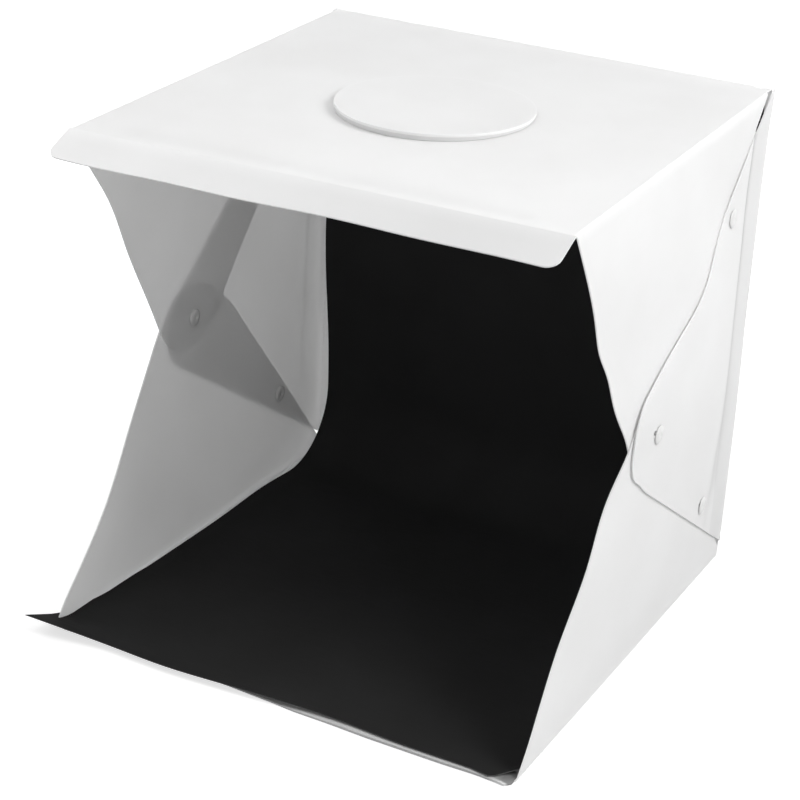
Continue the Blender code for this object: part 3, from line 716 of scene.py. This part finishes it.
def sheet_piece(name, node, body, flat, faces, place, thickness=SHEET, crease=None, shade=None,
                looks=(white, white_edge)):
    """A solid sheet: place turns its flat points into its middle surface.

    The looks are the finishes of its faces and of its cut edge.
    """
    middle = place(flat)
    corners = middle[faces]
    face_normals = np.cross(corners[:, 1] - corners[:, 0], corners[:, 2] - corners[:, 0])
    normals = np.zeros_like(middle)
    for k in range(3):
        np.add.at(normals, faces[:, k], face_normals)
    normals /= np.linalg.norm(normals, axis=1)[:, None]
    count = len(middle)
    half = normals * np.broadcast_to(thickness, count)[:, None] / 2
    vertices = np.concatenate([middle + half, middle - half])
    directed = {(a, b) for face in faces for a, b in zip(face, np.roll(face, -1))}
    border = [(a, b) for a, b in directed if (b, a) not in directed]
    border.sort()
    polygons = [tuple(face) for face in faces]
    polygons += [tuple(face[::-1] + count) for face in faces]
    polygons += [(b, a, a + count, b + count) for a, b in border]
    mesh = bpy.data.meshes.new(name)
    mesh.from_pydata([tuple(point) for point in vertices], [], polygons)
    for look in looks:
        mesh.materials.append(look)
    indexes = np.zeros(len(polygons), int)
    indexes[2 * len(faces):] = 1
    mesh.polygons.foreach_set("material_index", indexes)
    # The painted highlight and the painted shade at each point
    for kind, marks in (("painted_highlight", crease), ("shaded", shade)):
        values = np.zeros(count) if marks is None else marks(flat)
        add_mark(mesh, kind, np.concatenate([values, values]))
    mesh.shade_smooth()
    mesh.set_sharp_from_angle(angle=SHARP_SHEET)
    return add_piece(name, node, body, mesh)


def add_piece(name, node, body, mesh):
    """An object for a mesh in the frame's coordinates, standing for a CAD node."""
    points = np.array([tuple(vertex.co) for vertex in mesh.vertices])
    mesh.vertices.foreach_set("co", twisted(points).ravel())
    piece = placed(name, mesh)
    if body:
        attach(piece, body)
    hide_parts(node)
    return piece


# Folds


def fold_start(angle, radius=FOLD_RADIUS):
    """Where a rounded fold begins, measured along its sheet from the fold's corner."""
    return radius * (math.tan(angle / 2) - angle)


def fold_setback(angle, radius=FOLD_RADIUS):
    """How far short of the fold's corner the sheet before the fold ends."""
    return radius * math.tan(angle / 2)


def fold_rows(angle, radius=FOLD_RADIUS):
    """Distances at which a fold needs a row of points, and one just beyond it."""
    start = fold_start(angle, radius)
    step = (fold_setback(angle, radius) - start) / FOLD_ROWS
    return [start + step * row for row in range(1, FOLD_ROWS + 2)]


def fold_profile(s, angle, radius=FOLD_RADIUS):
    """(onward, inward) of points at distance s along a sheet that starts with a fold."""
    setback = fold_setback(angle, radius)
    turn = np.clip((setback - s) / radius, 0, angle)
    return np.maximum(s, setback) - radius * np.sin(turn), radius * (1 - np.cos(turn))


def fold_highlight(angle, radius=FOLD_RADIUS):
    """Marks a fold's own band, for a painted highlight in the finish."""
    setback = fold_setback(angle, radius)
    return lambda flat: 1 - smooth((flat[:, 1] - setback) / HIGHLIGHT_FADE)


def stretched(loop, old, new, axis=1, gap=EDGE_REACH):
    """A loop whose points at one edge are moved to another distance."""
    loop = loop.copy()
    near = np.abs(loop[:, axis] - old) < gap
    loop[near, axis] = new
    return loop


# Sheets


def in_top(along, up):
    """(distance from the back, height) of a place in the tilted top panel's frame."""
    return (along * math.cos(TOP_TILT) + up * math.sin(TOP_TILT),
            BACK_HEIGHT - along * math.sin(TOP_TILT) + up * math.cos(TOP_TILT))


def top_coordinates(points):
    """(along, up) of 3-D points in the tilted top panel's frame."""
    d, drop = HALF_DEPTH - points[:, 1], points[:, 2] - BACK_HEIGHT
    along = d * math.cos(TOP_TILT) - drop * math.sin(TOP_TILT)
    up = d * math.sin(TOP_TILT) + drop * math.cos(TOP_TILT)
    return along, up


def from_back(points):
    """Distance of points forward of the back face."""
    return HALF_DEPTH - points[:, 1]


def build_bottom():
    """The bottom sheet, up to the folds of the back wall and the lower flaps."""
    outline = plate_loops("bottom_panel", Vector((0, 0, 1)))[0][:, :2]
    for sign in (-1, 1):
        outline = stretched(outline, sign * HALF_WIDTH, sign * (LOWER_MIDDLE - FOLD_RADIUS), 0)
    outline = stretched(outline, HALF_DEPTH, HALF_DEPTH - SHEET / 2 - FOLD_RADIUS)

    def place(p):
        x, d = p[:, 0], from_back(p)
        return np.column_stack([x, p[:, 1] + panel_setback(x, d), (SHEET + panel_rise(x, d)) / 2])

    rows = [PANEL_LOW.y + step * MM for step in PANEL_ROWS_MM]
    flat, faces = meshed([outline], BOTTOM_SPACING, rows)
    sheet_piece("bottom_sheet", "bottom_panel", "base", flat, faces, place,
                SHEET + panel_rise(flat[:, 0], from_back(flat)),
                shade=lambda p: corner_shade(p[:, 0], from_back(p)))


def build_back_wall():
    """The back wall, which starts with the fold at its foot."""
    loops = plate_loops("back_panel", Vector((0, 1, 0)))
    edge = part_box("back_panel")[1].x
    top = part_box("back_panel")[1].z
    new_edge = WING_MIDDLE - FOLD_RADIUS
    new_top = BACK_HEIGHT - SHEET / 2 - fold_setback(SQUARE + TOP_TILT)
    outline = np.column_stack([loops[0][:, 0], loops[0][:, 2]])
    foot = outline[:, 1].min()
    outline = stretched(outline, top, new_top)
    outline = stretched(outline, foot, fold_start(SQUARE) + SHEET / 2)
    outline[:, 1] -= SHEET / 2
    for sign in (-1, 1):
        outline = stretched(outline, sign * edge, sign * new_edge, 0, WIDE_EDGE_REACH)

    def place(p):
        onward, inward = fold_profile(p[:, 1], SQUARE)
        z = onward + SHEET / 2
        share = p[:, 0] / new_edge
        narrow = closing(0, z) - side_outward(1, 0 * z, z)
        return np.column_stack([p[:, 0] - share * narrow, HALF_DEPTH - SHEET / 2 - inward, z])

    flat, faces = meshed([outline], PANEL_SPACING, fold_rows(SQUARE))
    piece = sheet_piece("back_sheet", "back_panel", None, flat, faces, place,
                        crease=fold_highlight(SQUARE))
    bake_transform(piece)


def build_top():
    """The top sheet, with its port and the fold to the back wall."""
    angle = SQUARE + TOP_TILT
    loops = plate_loops("top_panel", TOP_NORMAL)
    side = UPPER_MIDDLE - FOLD_RADIUS
    front = TOP_DEPTH - fold_setback(LIP_DROOP, LIP_FOLD_RADIUS) - SHEET / 2
    outline = np.array([(-side, fold_start(angle)), (side, fold_start(angle)), (side, front),
                        (-side, front)])
    flat_loops = [outline]
    for loop in loops[1:]:
        along, _ = top_coordinates(loop)
        flat_loops.append(np.column_stack([loop[:, 0], along - SHEET / 2]))

    def place(p):
        onward, inward = fold_profile(p[:, 1], angle)
        d, z = in_top(onward + SHEET / 2, -SHEET / 2 - inward)
        return np.column_stack([p[:, 0], HALF_DEPTH - d, z])

    flat, faces = meshed(flat_loops, PANEL_SPACING, fold_rows(angle))
    piece = sheet_piece("top_sheet", "top_panel", None, flat, faces, place,
                        crease=fold_highlight(angle))
    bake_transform(piece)


def build_lip():
    """The front lip, which droops from a soft fold."""
    normal = Vector((0, -math.sin(TOP_TILT + LIP_DROOP), math.cos(TOP_TILT + LIP_DROOP)))
    loop = plate_loops("front_lip", normal)[0]
    onward = Vector((0, -math.cos(TOP_TILT + LIP_DROOP), -math.sin(TOP_TILT + LIP_DROOP)))
    d, z = in_top(TOP_DEPTH, -SHEET / 2)
    corner = np.array([0, HALF_DEPTH - d, z])
    run = (loop - corner) @ np.array(onward)
    start = fold_start(LIP_DROOP, LIP_FOLD_RADIUS)
    outline = stretched(np.column_stack([loop[:, 0], run]), run.min(), start)
    reach = outline[:, 1].max()

    def place(p):
        along, inward = fold_profile(p[:, 1], LIP_DROOP, LIP_FOLD_RADIUS)
        share = smooth(p[:, 1] / reach)
        sag = sum(height * np.sin(p[:, 0] / length + phase) for height, length, phase in LIP_WAVES)
        made = corner + np.outer(along, onward) - np.outer(inward - share * sag, normal)
        made[:, 0] = p[:, 0]
        return made

    rows = fold_rows(LIP_DROOP, LIP_FOLD_RADIUS)
    flat, faces = meshed([outline], STRIP_SPACING, rows)
    piece = sheet_piece("lip_sheet", "front_lip", None, flat, faces, place,
                        crease=lambda p: LIP_HIGHLIGHT * (1 - smooth(p[:, 1] / LIP_HIGHLIGHT_FADE)),
                        shade=lambda p: LIP_SHADE * ramp(p[:, 0], *LIP_SHADE_STEP))
    first, last = place(np.array([(0, start), (0, fold_setback(LIP_DROOP, LIP_FOLD_RADIUS))]))
    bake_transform(piece)


def build_strip(side, sign):
    """The strip along the back of a side, folded from the back wall."""
    loop = plate_loops(side + "_back_strip", Vector((sign, 0, 0)))[0]
    outline = np.column_stack([loop[:, 2], from_back(loop)])
    outline = stretched(outline, 0, fold_start(SQUARE) + SHEET / 2)
    outline[:, 1] -= SHEET / 2

    def place(p):
        onward, inward = fold_profile(p[:, 1], SQUARE)
        made = side_points(sign, WING_MIDDLE - inward, onward + SHEET / 2, p[:, 0], outer=True)
        made[:, 0] -= sign * crease_groove(sign, onward + SHEET / 2, p[:, 0])
        return made

    front = STRIP_WIDTH - SHEET / 2
    rows = fold_rows(SQUARE) + [front - step * MM for step in STRIP_ROWS_MM]
    flat, faces = meshed([outline], STRIP_SPACING, rows)
    piece = sheet_piece(side + "_strip_sheet", side + "_back_strip", None, flat, faces, place,
                        crease=fold_highlight(SQUARE),
                        shade=lambda p: STRIP_SHADE[sign] +
                        crease_shade(sign, p[:, 1] + SHEET / 2, p[:, 0]))
    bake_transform(piece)


def crease_form(z):
    """(depth, spread, distance from the back) of the crease at a height."""
    heights, depths, spreads = zip(*GROOVE)
    depth, spread = np.interp(z, heights, depths) * MM, np.interp(z, heights, spreads) * MM
    middle = STRIP_WIDTH
    for travel, height, length in CREASE_SWAYS:
        middle = middle + travel * smooth((height - z) / length)
    return depth, spread, middle


def crease_groove(sign, d, z):
    """Depth of the pressed crease between a strip and its wing."""
    depth, spread, middle = crease_form(z)
    return CREASE_PRESS[sign] * depth * hump((d - middle) / spread)


def crease_shade(sign, d, z):
    """Painted shade: how much darker the sheet is in the crease."""
    depth, spread, middle = crease_form(z)
    share = CREASE_PRESS[sign] * CREASE_SHADE
    return share * depth / spread * hump((d - middle) / (CREASE_SHADE_SPREAD * spread))


def wing_lift(sign, d, z, edge):
    """How far a place on a wing stands off the flaps."""
    heights, lifts = zip(*WING_LIFTS[sign])
    away = np.full(len(d), np.inf)
    for (ad, az), (bd, bz) in zip(edge[:-1], edge[1:]):
        run = np.array([bd - ad, bz - az])
        share = np.clip(((d - ad) * run[0] + (z - az) * run[1]) / (run @ run), 0, 1)
        away = np.minimum(away, np.hypot(d - ad - share * run[0], z - az - share * run[1]))
    lift = np.interp(z, heights, lifts) * MM
    return lift * hump(away / (WING_LIFT_REACH + lift * 2))


def wing_place(sign, loop, name=None):
    """Turns (distance from the back, height) into a wing's middle surface."""
    start = int(np.lexsort((loop[:, 1], loop[:, 0]))[0])
    free = np.roll(loop, -start, axis=0)
    if free[1][0] < free[0][0] + MM:
        free = np.roll(free[::-1], 1, axis=0)

    def place(p):
        clear = smooth((p[:, 0] - STRIP_WIDTH) / WING_LIFT_START)
        lift = wing_lift(sign, p[:, 0], p[:, 1], free) * clear
        d, z = drifted(name, p[:, 0], p[:, 1])
        made = side_points(sign, WING_MIDDLE, d, z, outer=True)
        made[:, 0] += sign * (lift - crease_groove(sign, d, z))
        return made

    return place


def build_wing(side, sign):
    """A side's outer sheet, creased to its strip, with its three snap caps."""
    loops = plate_loops(side + "_wing", Vector((sign, 0, 0)))
    flat_loops = [np.column_stack([from_back(loop), loop[:, 2]]) for loop in loops]
    flat_loops[0] = stretched(flat_loops[0], flat_loops[0][:, 0].min(), STRIP_WIDTH, 0)
    place = wing_place(sign, flat_loops[0], side + "_wing")
    rows = [STRIP_WIDTH + step * MM for step in WING_ROWS_MM]
    flat, faces = meshed([loop[:, ::-1] for loop in flat_loops], SIDE_SPACING, rows)
    flat, faces = flat[:, ::-1], faces[:, ::-1]
    sheet_piece(side + "_wing_sheet", side + "_wing", side + "_wing", flat, faces, place,
                shade=lambda p: crease_shade(sign, p[:, 0], p[:, 1]))
    seat = wing_place(sign, flat_loops[0])
    for level in ("upper", "middle", "lower"):
        add_snap(f"{side}_wing_{level}_snap_cap", side + "_wing", seat, sign)


def flap_place(sign, middle, in_side, name=None):
    """Turns (along the fold, distance from it) into a flap's middle surface."""
    def place(p):
        onward, inward = fold_profile(p[:, 1], SQUARE)
        d, z = drifted(name, *in_side(p[:, 0], onward))
        made = side_points(sign, middle - inward, d, z)
        back = np.maximum(panel_setback(made[:, 0], d), 0)
        made[:, 1] += back * (1 - smooth(z / PANEL_SETBACK_FADE))
        return made
    return place


def flap_sheet(body, flat_loops, place):
    """A flap's sheet, which starts with the fold at its panel's side."""
    flat_loops[0] = stretched(flat_loops[0], flat_loops[0][:, 1].min(), fold_start(SQUARE))
    flat, faces = meshed(flat_loops, SIDE_SPACING, fold_rows(SQUARE))
    return sheet_piece(body + "_sheet", body, None, flat, faces, place,
                       crease=fold_highlight(SQUARE))


def build_upper_flap(side, sign):
    """A flap that hangs from the top's side, with its two snap caps."""
    body = side + "_upper_flap"

    def in_side(along, down):
        return in_top(along, -down - SHEET / 2)

    def in_flap(points):
        along, up = top_coordinates(points)
        return np.column_stack([along, -up - SHEET / 2])

    flat_loops = [in_flap(loop) for loop in plate_loops(body, Vector((sign, 0, 0)))]
    piece = flap_sheet(body, flat_loops, flap_place(sign, UPPER_MIDDLE, in_side, body))
    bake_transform(piece)

    seat = flap_place(sign, UPPER_MIDDLE, in_side)

    def beside(p):
        return seat(in_flap(np.column_stack([p[:, 0], HALF_DEPTH - p[:, 0], p[:, 1]])))

    for level in ("rear", "tip"):
        add_snap(f"{body}_{level}_snap_cap", body, beside, -sign)


def build_lower_flap(side, sign):
    """A flap that stands on the bottom's side, with its snap cap."""
    body = side + "_lower_flap"

    def in_side(d, up):
        return d, up + SHEET / 2

    loops = plate_loops(body, Vector((sign, 0, 0)))
    flat_loops = [np.column_stack([from_back(loop), loop[:, 2] - SHEET / 2]) for loop in loops]
    piece = flap_sheet(body, flat_loops, flap_place(sign, LOWER_MIDDLE, in_side, body))
    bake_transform(piece)
    seat = flap_place(sign, LOWER_MIDDLE, in_side)
    add_snap(body + "_snap_cap", body,
             lambda p: seat(np.column_stack([p[:, 0], p[:, 1] - SHEET / 2])), -sign)


# Snaps and the lid


def lathe(name, profile, sides, matrix, finish):
    """A profile of (radius, height) points turned about Z and set in place."""
    vertices, polygons = [], []
    count = len(profile)
    for step in range(sides):
        angle = 2 * math.pi * step / sides
        for radius, height in profile:
            spot = Vector((radius * math.cos(angle), radius * math.sin(angle), height))
            vertices.append(tuple(matrix @ spot))
    for step in range(sides):
        here, after = step * count, (step + 1) % sides * count
        for k in range(count - 1):
            polygons.append((here + k, here + k + 1, after + k + 1, after + k))
    mesh = bpy.data.meshes.new(name)
    mesh.from_pydata(vertices, [], polygons)
    bm = bmesh.new()
    bm.from_mesh(mesh)
    bmesh.ops.remove_doubles(bm, verts=bm.verts, dist=WELD)
    bmesh.ops.recalc_face_normals(bm, faces=bm.faces)
    bm.to_mesh(mesh)
    bm.free()
    mesh.materials.append(finish)
    mesh.shade_smooth()
    mesh.set_sharp_from_angle(angle=SHARP_ROUND)
    return mesh


def add_snap(node, body, place, outward):
    """A snap cap seated on the bowed sheet where its CAD cap is."""
    low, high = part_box(node)
    centre = (low + high) / 2
    d, z = (float(value) for value in drifted(node, np.float64(HALF_DEPTH - centre.y),
                                              np.float64(centre.z)))
    step = 3 * MM
    here, ahead, above = place(np.array([(d, z), (d + step, z), (d, z + step)]))
    normal = Vector(np.cross(ahead - here, above - here)).normalized()
    if normal.x * outward < 0:
        normal = -normal
    matrix = Matrix.Translation(Vector(here) + normal * (SHEET / 2)) @ \
        normal.to_track_quat("Z", "Y").to_matrix().to_4x4()
    profile = [(radius * MM, height * MM) for radius, height in SNAP_PROFILE_MM]
    mesh = lathe(node + "_round", profile, SNAP_SIDES, matrix, snap_white)
    add_piece(node + "_round", node, body, mesh)


def build_lid():
    """The lid, a disc whose middle is pressed down on its pads."""
    low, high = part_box("port_lid")
    radius = (high.x - low.x) / 2 * LID_SCALE
    tilt = Matrix.Rotation(TOP_TILT, 4, "X")
    centre = (low + high) / 2 + tilt @ Vector((*LID_SHIFT, 0))
    matrix = Matrix.Translation(centre) @ Matrix.Rotation(TOP_TILT - LID_TILT, 4, "X")
    half = SHEET / 2
    rings = [radius * share for share in LID_RINGS]

    def bow(r):
        return LID_BOW * (r / radius) ** 3 - LID_BOW * LID_SINK

    upper = [(r, half + bow(r)) for r in rings]
    brim = bow(radius) - half - LID_BRIM_DROP
    edge = [(radius - LID_RIM * 0.3, half + bow(radius) - LID_RIM * 0.1), (radius, bow(radius)),
            (radius, brim), (radius - LID_RIM * 0.5, brim - LID_RIM),
            (radius - LID_RIM, brim - 3 * LID_RIM), (radius - LID_BRIM_WIDTH, brim - 3 * LID_RIM)]
    lower = [(r, -half + bow(r)) for r in rings[::-1]]
    mesh = lathe("lid_sheet", upper + edge + lower, LID_SIDES, matrix, white)
    points = np.array([v.co for v in mesh.vertices])
    from_centre = points - np.array(centre)
    reach = np.hypot(from_centre[:, 0], from_centre[:, 1] / math.cos(TOP_TILT))
    # A painted highlight round the lid's rim
    highlight_start, highlight_length = (radius * share for share in LID_RIM_HIGHLIGHT)
    add_mark(mesh, "painted_highlight", ramp(reach, highlight_start, highlight_length))
    back = np.array(matrix.inverted())
    heights = points @ back[2, :3] + back[2, 3]
    foot = heights < brim - 2 * LID_RIM
    points[foot, 2] = top_height(from_back(points[foot])) + LID_FOOT_GAP
    mesh.vertices.foreach_set("co", points.ravel())
    # Painted shade on the brim's foot
    add_mark(mesh, "shaded", LID_FOOT_SHADE * smooth((brim - heights) / LID_FOOT_FADE))
    add_piece("lid_sheet", "port_lid", "lid", mesh)


# The black backdrop


def backdrop_path(steps):
    """Even steps down the back wall and forward, as (from the back, height, way left)."""
    r = BACKDROP_CURVE
    wall = BACKDROP_TOP - BACKDROP_FLOOR - r
    curve = r * SQUARE
    run = BACKDROP_FRONT - BACKDROP_OFFSET - r
    total = wall + curve + run
    path = []
    for s in np.linspace(0, total, steps + 1):
        if s < wall:
            path.append((BACKDROP_OFFSET, BACKDROP_TOP - s, total - s))
        elif s < wall + curve:
            a = (s - wall) / r
            path.append((BACKDROP_OFFSET + r * (1 - math.cos(a)),
                         BACKDROP_FLOOR + r * (1 - math.sin(a)), total - s))
        else:
            ahead = s - wall - curve
            rise = max(0.0, ahead - (run - BACKDROP_BEND))
            soft = rise - BACKDROP_BEND_SOFTNESS * (1 - math.exp(-rise / BACKDROP_BEND_SOFTNESS))
            path.append((BACKDROP_OFFSET + r + ahead - rise * (1 - math.cos(BACKDROP_BEND_ANGLE)),
                         BACKDROP_FLOOR + soft * math.sin(BACKDROP_BEND_ANGLE), total - s))
    return np.array(path), total


def backdrop_points(path, across):
    """Points of the formed sheet, row by row along its path."""
    share, index = np.meshgrid(across, np.arange(len(path)))
    d, z, left_over = path[index.ravel()].T
    narrowing = BACKDROP_NARROWING * smooth(left_over / BACKDROP_NARROWING_LENGTH)
    x = share.ravel() * (BACKDROP_HALF - narrowing)
    arch = np.sin(np.pi * ramp(z, BACKDROP_BOW_FOOT, BACKDROP_TOP - BACKDROP_BOW_FOOT))
    d = d + BACKDROP_BOW * arch ** BACKDROP_BOW_POWER
    x = x + np.sign(x) * BACKDROP_WIDENING * ramp(z, *BACKDROP_WIDENING_STEP)
    start, run = BACKDROP_FRONT_PART
    toward_front = np.clip((d - start) / run, 0, 1) ** BACKDROP_FRONT_POWER
    on_left = ramp(-x, *BACKDROP_LEFT_STEP)
    drawn = on_left * toward_front
    level_right = front_right(x) * (1 - smooth(z / BACKDROP_LEVEL_FADE))
    rise = panel_rise(x, d) * (1 - smooth(z / BACKDROP_RIM_FADE))
    curl = np.interp(d / MM, *zip(*BACKDROP_LEFT_CURL_MM)) * MM * on_left
    side_curl = bump(d, *BACKDROP_SIDE_CURL) * ramp(-x, *BACKDROP_SIDE_CURL_STEP)
    ahead = BACKDROP_AHEAD_MM * ramp(x, *BACKDROP_AHEAD_STEP) + bump(x, *BACKDROP_BUMP)
    ahead = ahead - BACKDROP_BEHIND_MM * front_right(x)
    at_corner = ramp(d, *BACKDROP_CORNER_STEP)
    stations, *shifts = zip(*BACKDROP_CORNER_MM)
    aside, forward, up = (np.interp(x / MM, stations, row) * MM * at_corner for row in shifts)
    lifted = np.where(toward_front > 0, z - BACKDROP_FLOOR, 0)
    x = x - BACKDROP_LEFT_IN * drawn + aside
    d = d + BACKDROP_LEFT_AHEAD * drawn + forward + ahead * MM * toward_front
    side_curl = side_curl * (1 - smooth(z / BACKDROP_SIDE_CURL_FADE))
    z = z - lifted * level_right + curl + up + rise + side_curl
    height, wave_length, phase = BACKDROP_WAVE
    wave = height * ramp(d, *BACKDROP_WAVE_STEP)
    z = z + wave * (1 + np.sin(x / wave_length + phase))
    return np.column_stack([x, HALF_DEPTH - d, z])


def build_backdrop():
    """One black sheet that hangs at the back, curves and lies forward on the bottom."""
    path, length = backdrop_path(BACKDROP_ROWS)
    across = np.linspace(-1, 1, BACKDROP_COLUMNS + 1)
    points = backdrop_points(path, across)
    columns = len(across)
    faces = []
    for i in range(len(path) - 1):
        for j in range(columns - 1):
            a = i * columns + j
            faces += [(a, a + columns, a + 1), (a + 1, a + columns, a + columns + 1)]
    piece = sheet_piece("backdrop", "backdrop_sheet", None, points, np.array(faces),
                        lambda p: p, BACKDROP_THICKNESS, looks=(black, black_edge))
    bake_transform(piece)


# The loop pads, and the pieces that keep their CAD form


def build_loop_pads():
    """The pads at the backdrop's top edge, which go with the back when it opens."""
    for side, _ in SIDES:
        node = side + "_backdrop_loop_pad"
        low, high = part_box(node)
        solid = bmesh.new()
        bmesh.ops.create_cube(solid, size=1, matrix=Matrix.Translation((low + high) / 2) @
                              Matrix.Diagonal((*(high - low), 1)))
        bmesh.ops.bevel(solid, geom=solid.edges[:], offset=PAD_CORNER, segments=2,
                        affect="EDGES", profile=0.5)
        mesh = bpy.data.meshes.new(node + "_cloth")
        solid.to_mesh(mesh)
        solid.free()
        mesh.materials.append(tape_white)
        add_piece(node + "_cloth", node, "back", mesh)


def dress_cad_nodes():
    """Gives each CAD node the finish of the first part that its name contains, or white."""
    finishes = (("channel", channel_white), ("end_cap", channel_white), ("board", board_white),
                ("diffuser", diffuser_white), ("ribbon", lead_white), ("inlet_lead", lead_white),
                ("power_inlet", inlet_black), ("pad", tape_white))
    for name, node in frame["nodes"].items():
        finish = next((made for part, made in finishes if part in name), white)
        node.data.materials.clear()
        node.data.materials.append(finish)


# Studio


def sky_strength(n):
    """A strength that falls off with the square of the cosine from each bright direction."""
    split = n.add("SeparateXYZ", Vector=n.coordinates.outputs["Generated"])
    total = 0.0
    for axis, sign, strength in SKY:
        toward = n.total(n.total(split.outputs[axis], sign, "MULTIPLY"), 0, "MAXIMUM")
        total = n.total(total, n.total(n.total(toward, 2, "POWER"), strength, "MULTIPLY"))
    return total


def world_light():
    """Soft light from the room, seen as plain white."""
    n = Nodes(bpy.data.worlds.new("studio"))
    lighting = n.add("Background", Color=LIGHT_WHITE, Strength=sky_strength(n))
    plain = n.add("Background", Color=LIGHT_WHITE, Strength=1)
    shown = n.mixed(n.seen(), lighting, plain)
    bpy.context.scene.world = n.finish(shown, "OutputWorld")


def add_lamp(name, place, aim, power):
    """A round lamp that looks at its aim."""
    light = bpy.data.lights.new(name, "AREA")
    light.shape = "DISK"
    light.size = LAMP_SIZE
    light.energy = power
    item = placed(name, light)
    item.location = place
    item.rotation_euler = (Vector(aim) - Vector(place)).to_track_quat("-Z", "Y").to_euler()


def add_floor():
    """A pale floor that shows as white and keeps the object's soft shadow."""
    mesh = bpy.data.meshes.new("floor")
    corners = [(x * FLOOR_REACH, y * FLOOR_REACH, FLOOR_LEVEL)
               for x, y in ((-1, -1), (1, -1), (1, 1), (-1, 1))]
    mesh.from_pydata(corners, [], [(0, 1, 2, 3)])
    n = Nodes(bpy.data.materials.new("floor"))
    colour = n.blend(n.spread(n.noise(scale=3, detail=2), 0.3, 0.7), grey(0.49), grey(0.51))
    away = n.add("VectorMath", {"operation": "LENGTH"})
    n.feed(away.inputs[0], n.place)
    level = n.spread(away.outputs["Value"], *FLOOR_GLOW)
    ground = n.add("BsdfDiffuse", Color=colour)
    glow = n.add("Emission", Color=LIGHT_WHITE, Strength=n.total(n.seen(), level, "MULTIPLY"))
    both = n.add("AddShader")
    n.feed_all(both.inputs, (ground.outputs[0], glow.outputs[0]))
    mesh.materials.append(n.finish(both))
    floor = placed("floor", mesh)


def add_camera():
    """The camera, turned by its azimuth, elevation and roll."""
    az, el, roll = CAMERA_AZIMUTH, CAMERA_ELEVATION, CAMERA_ROLL
    back = Vector((math.sin(az) * math.cos(el), -math.cos(az) * math.cos(el), math.sin(el)))
    right = (-back).cross(Vector((0, 0, 1))).normalized()
    up = right.cross(-back)
    across = right * math.cos(roll) + up * math.sin(roll)
    over = up * math.cos(roll) - right * math.sin(roll)
    data = bpy.data.cameras.new("camera")
    data.lens = CAMERA_LENS_MM
    data.sensor_width = CAMERA_SENSOR_MM
    camera = placed("camera", data)
    turned = Matrix((across, over, back)).transposed().to_4x4()
    camera.matrix_world = Matrix.Translation(CAMERA_PLACE) @ turned
    bpy.context.scene.camera = camera


add_camera()
dress_cad_nodes()
build_bottom()
build_back_wall()
build_top()
build_lip()
for side, sign in SIDES:
    build_strip(side, sign)
    build_wing(side, sign)
    build_upper_flap(side, sign)
    build_lower_flap(side, sign)
build_lid()
build_backdrop()
build_loop_pads()

world_light()
for lamp in LAMPS:
    add_lamp(*lamp)
add_floor()
bpy.context.scene.view_settings.view_transform = "Standard"
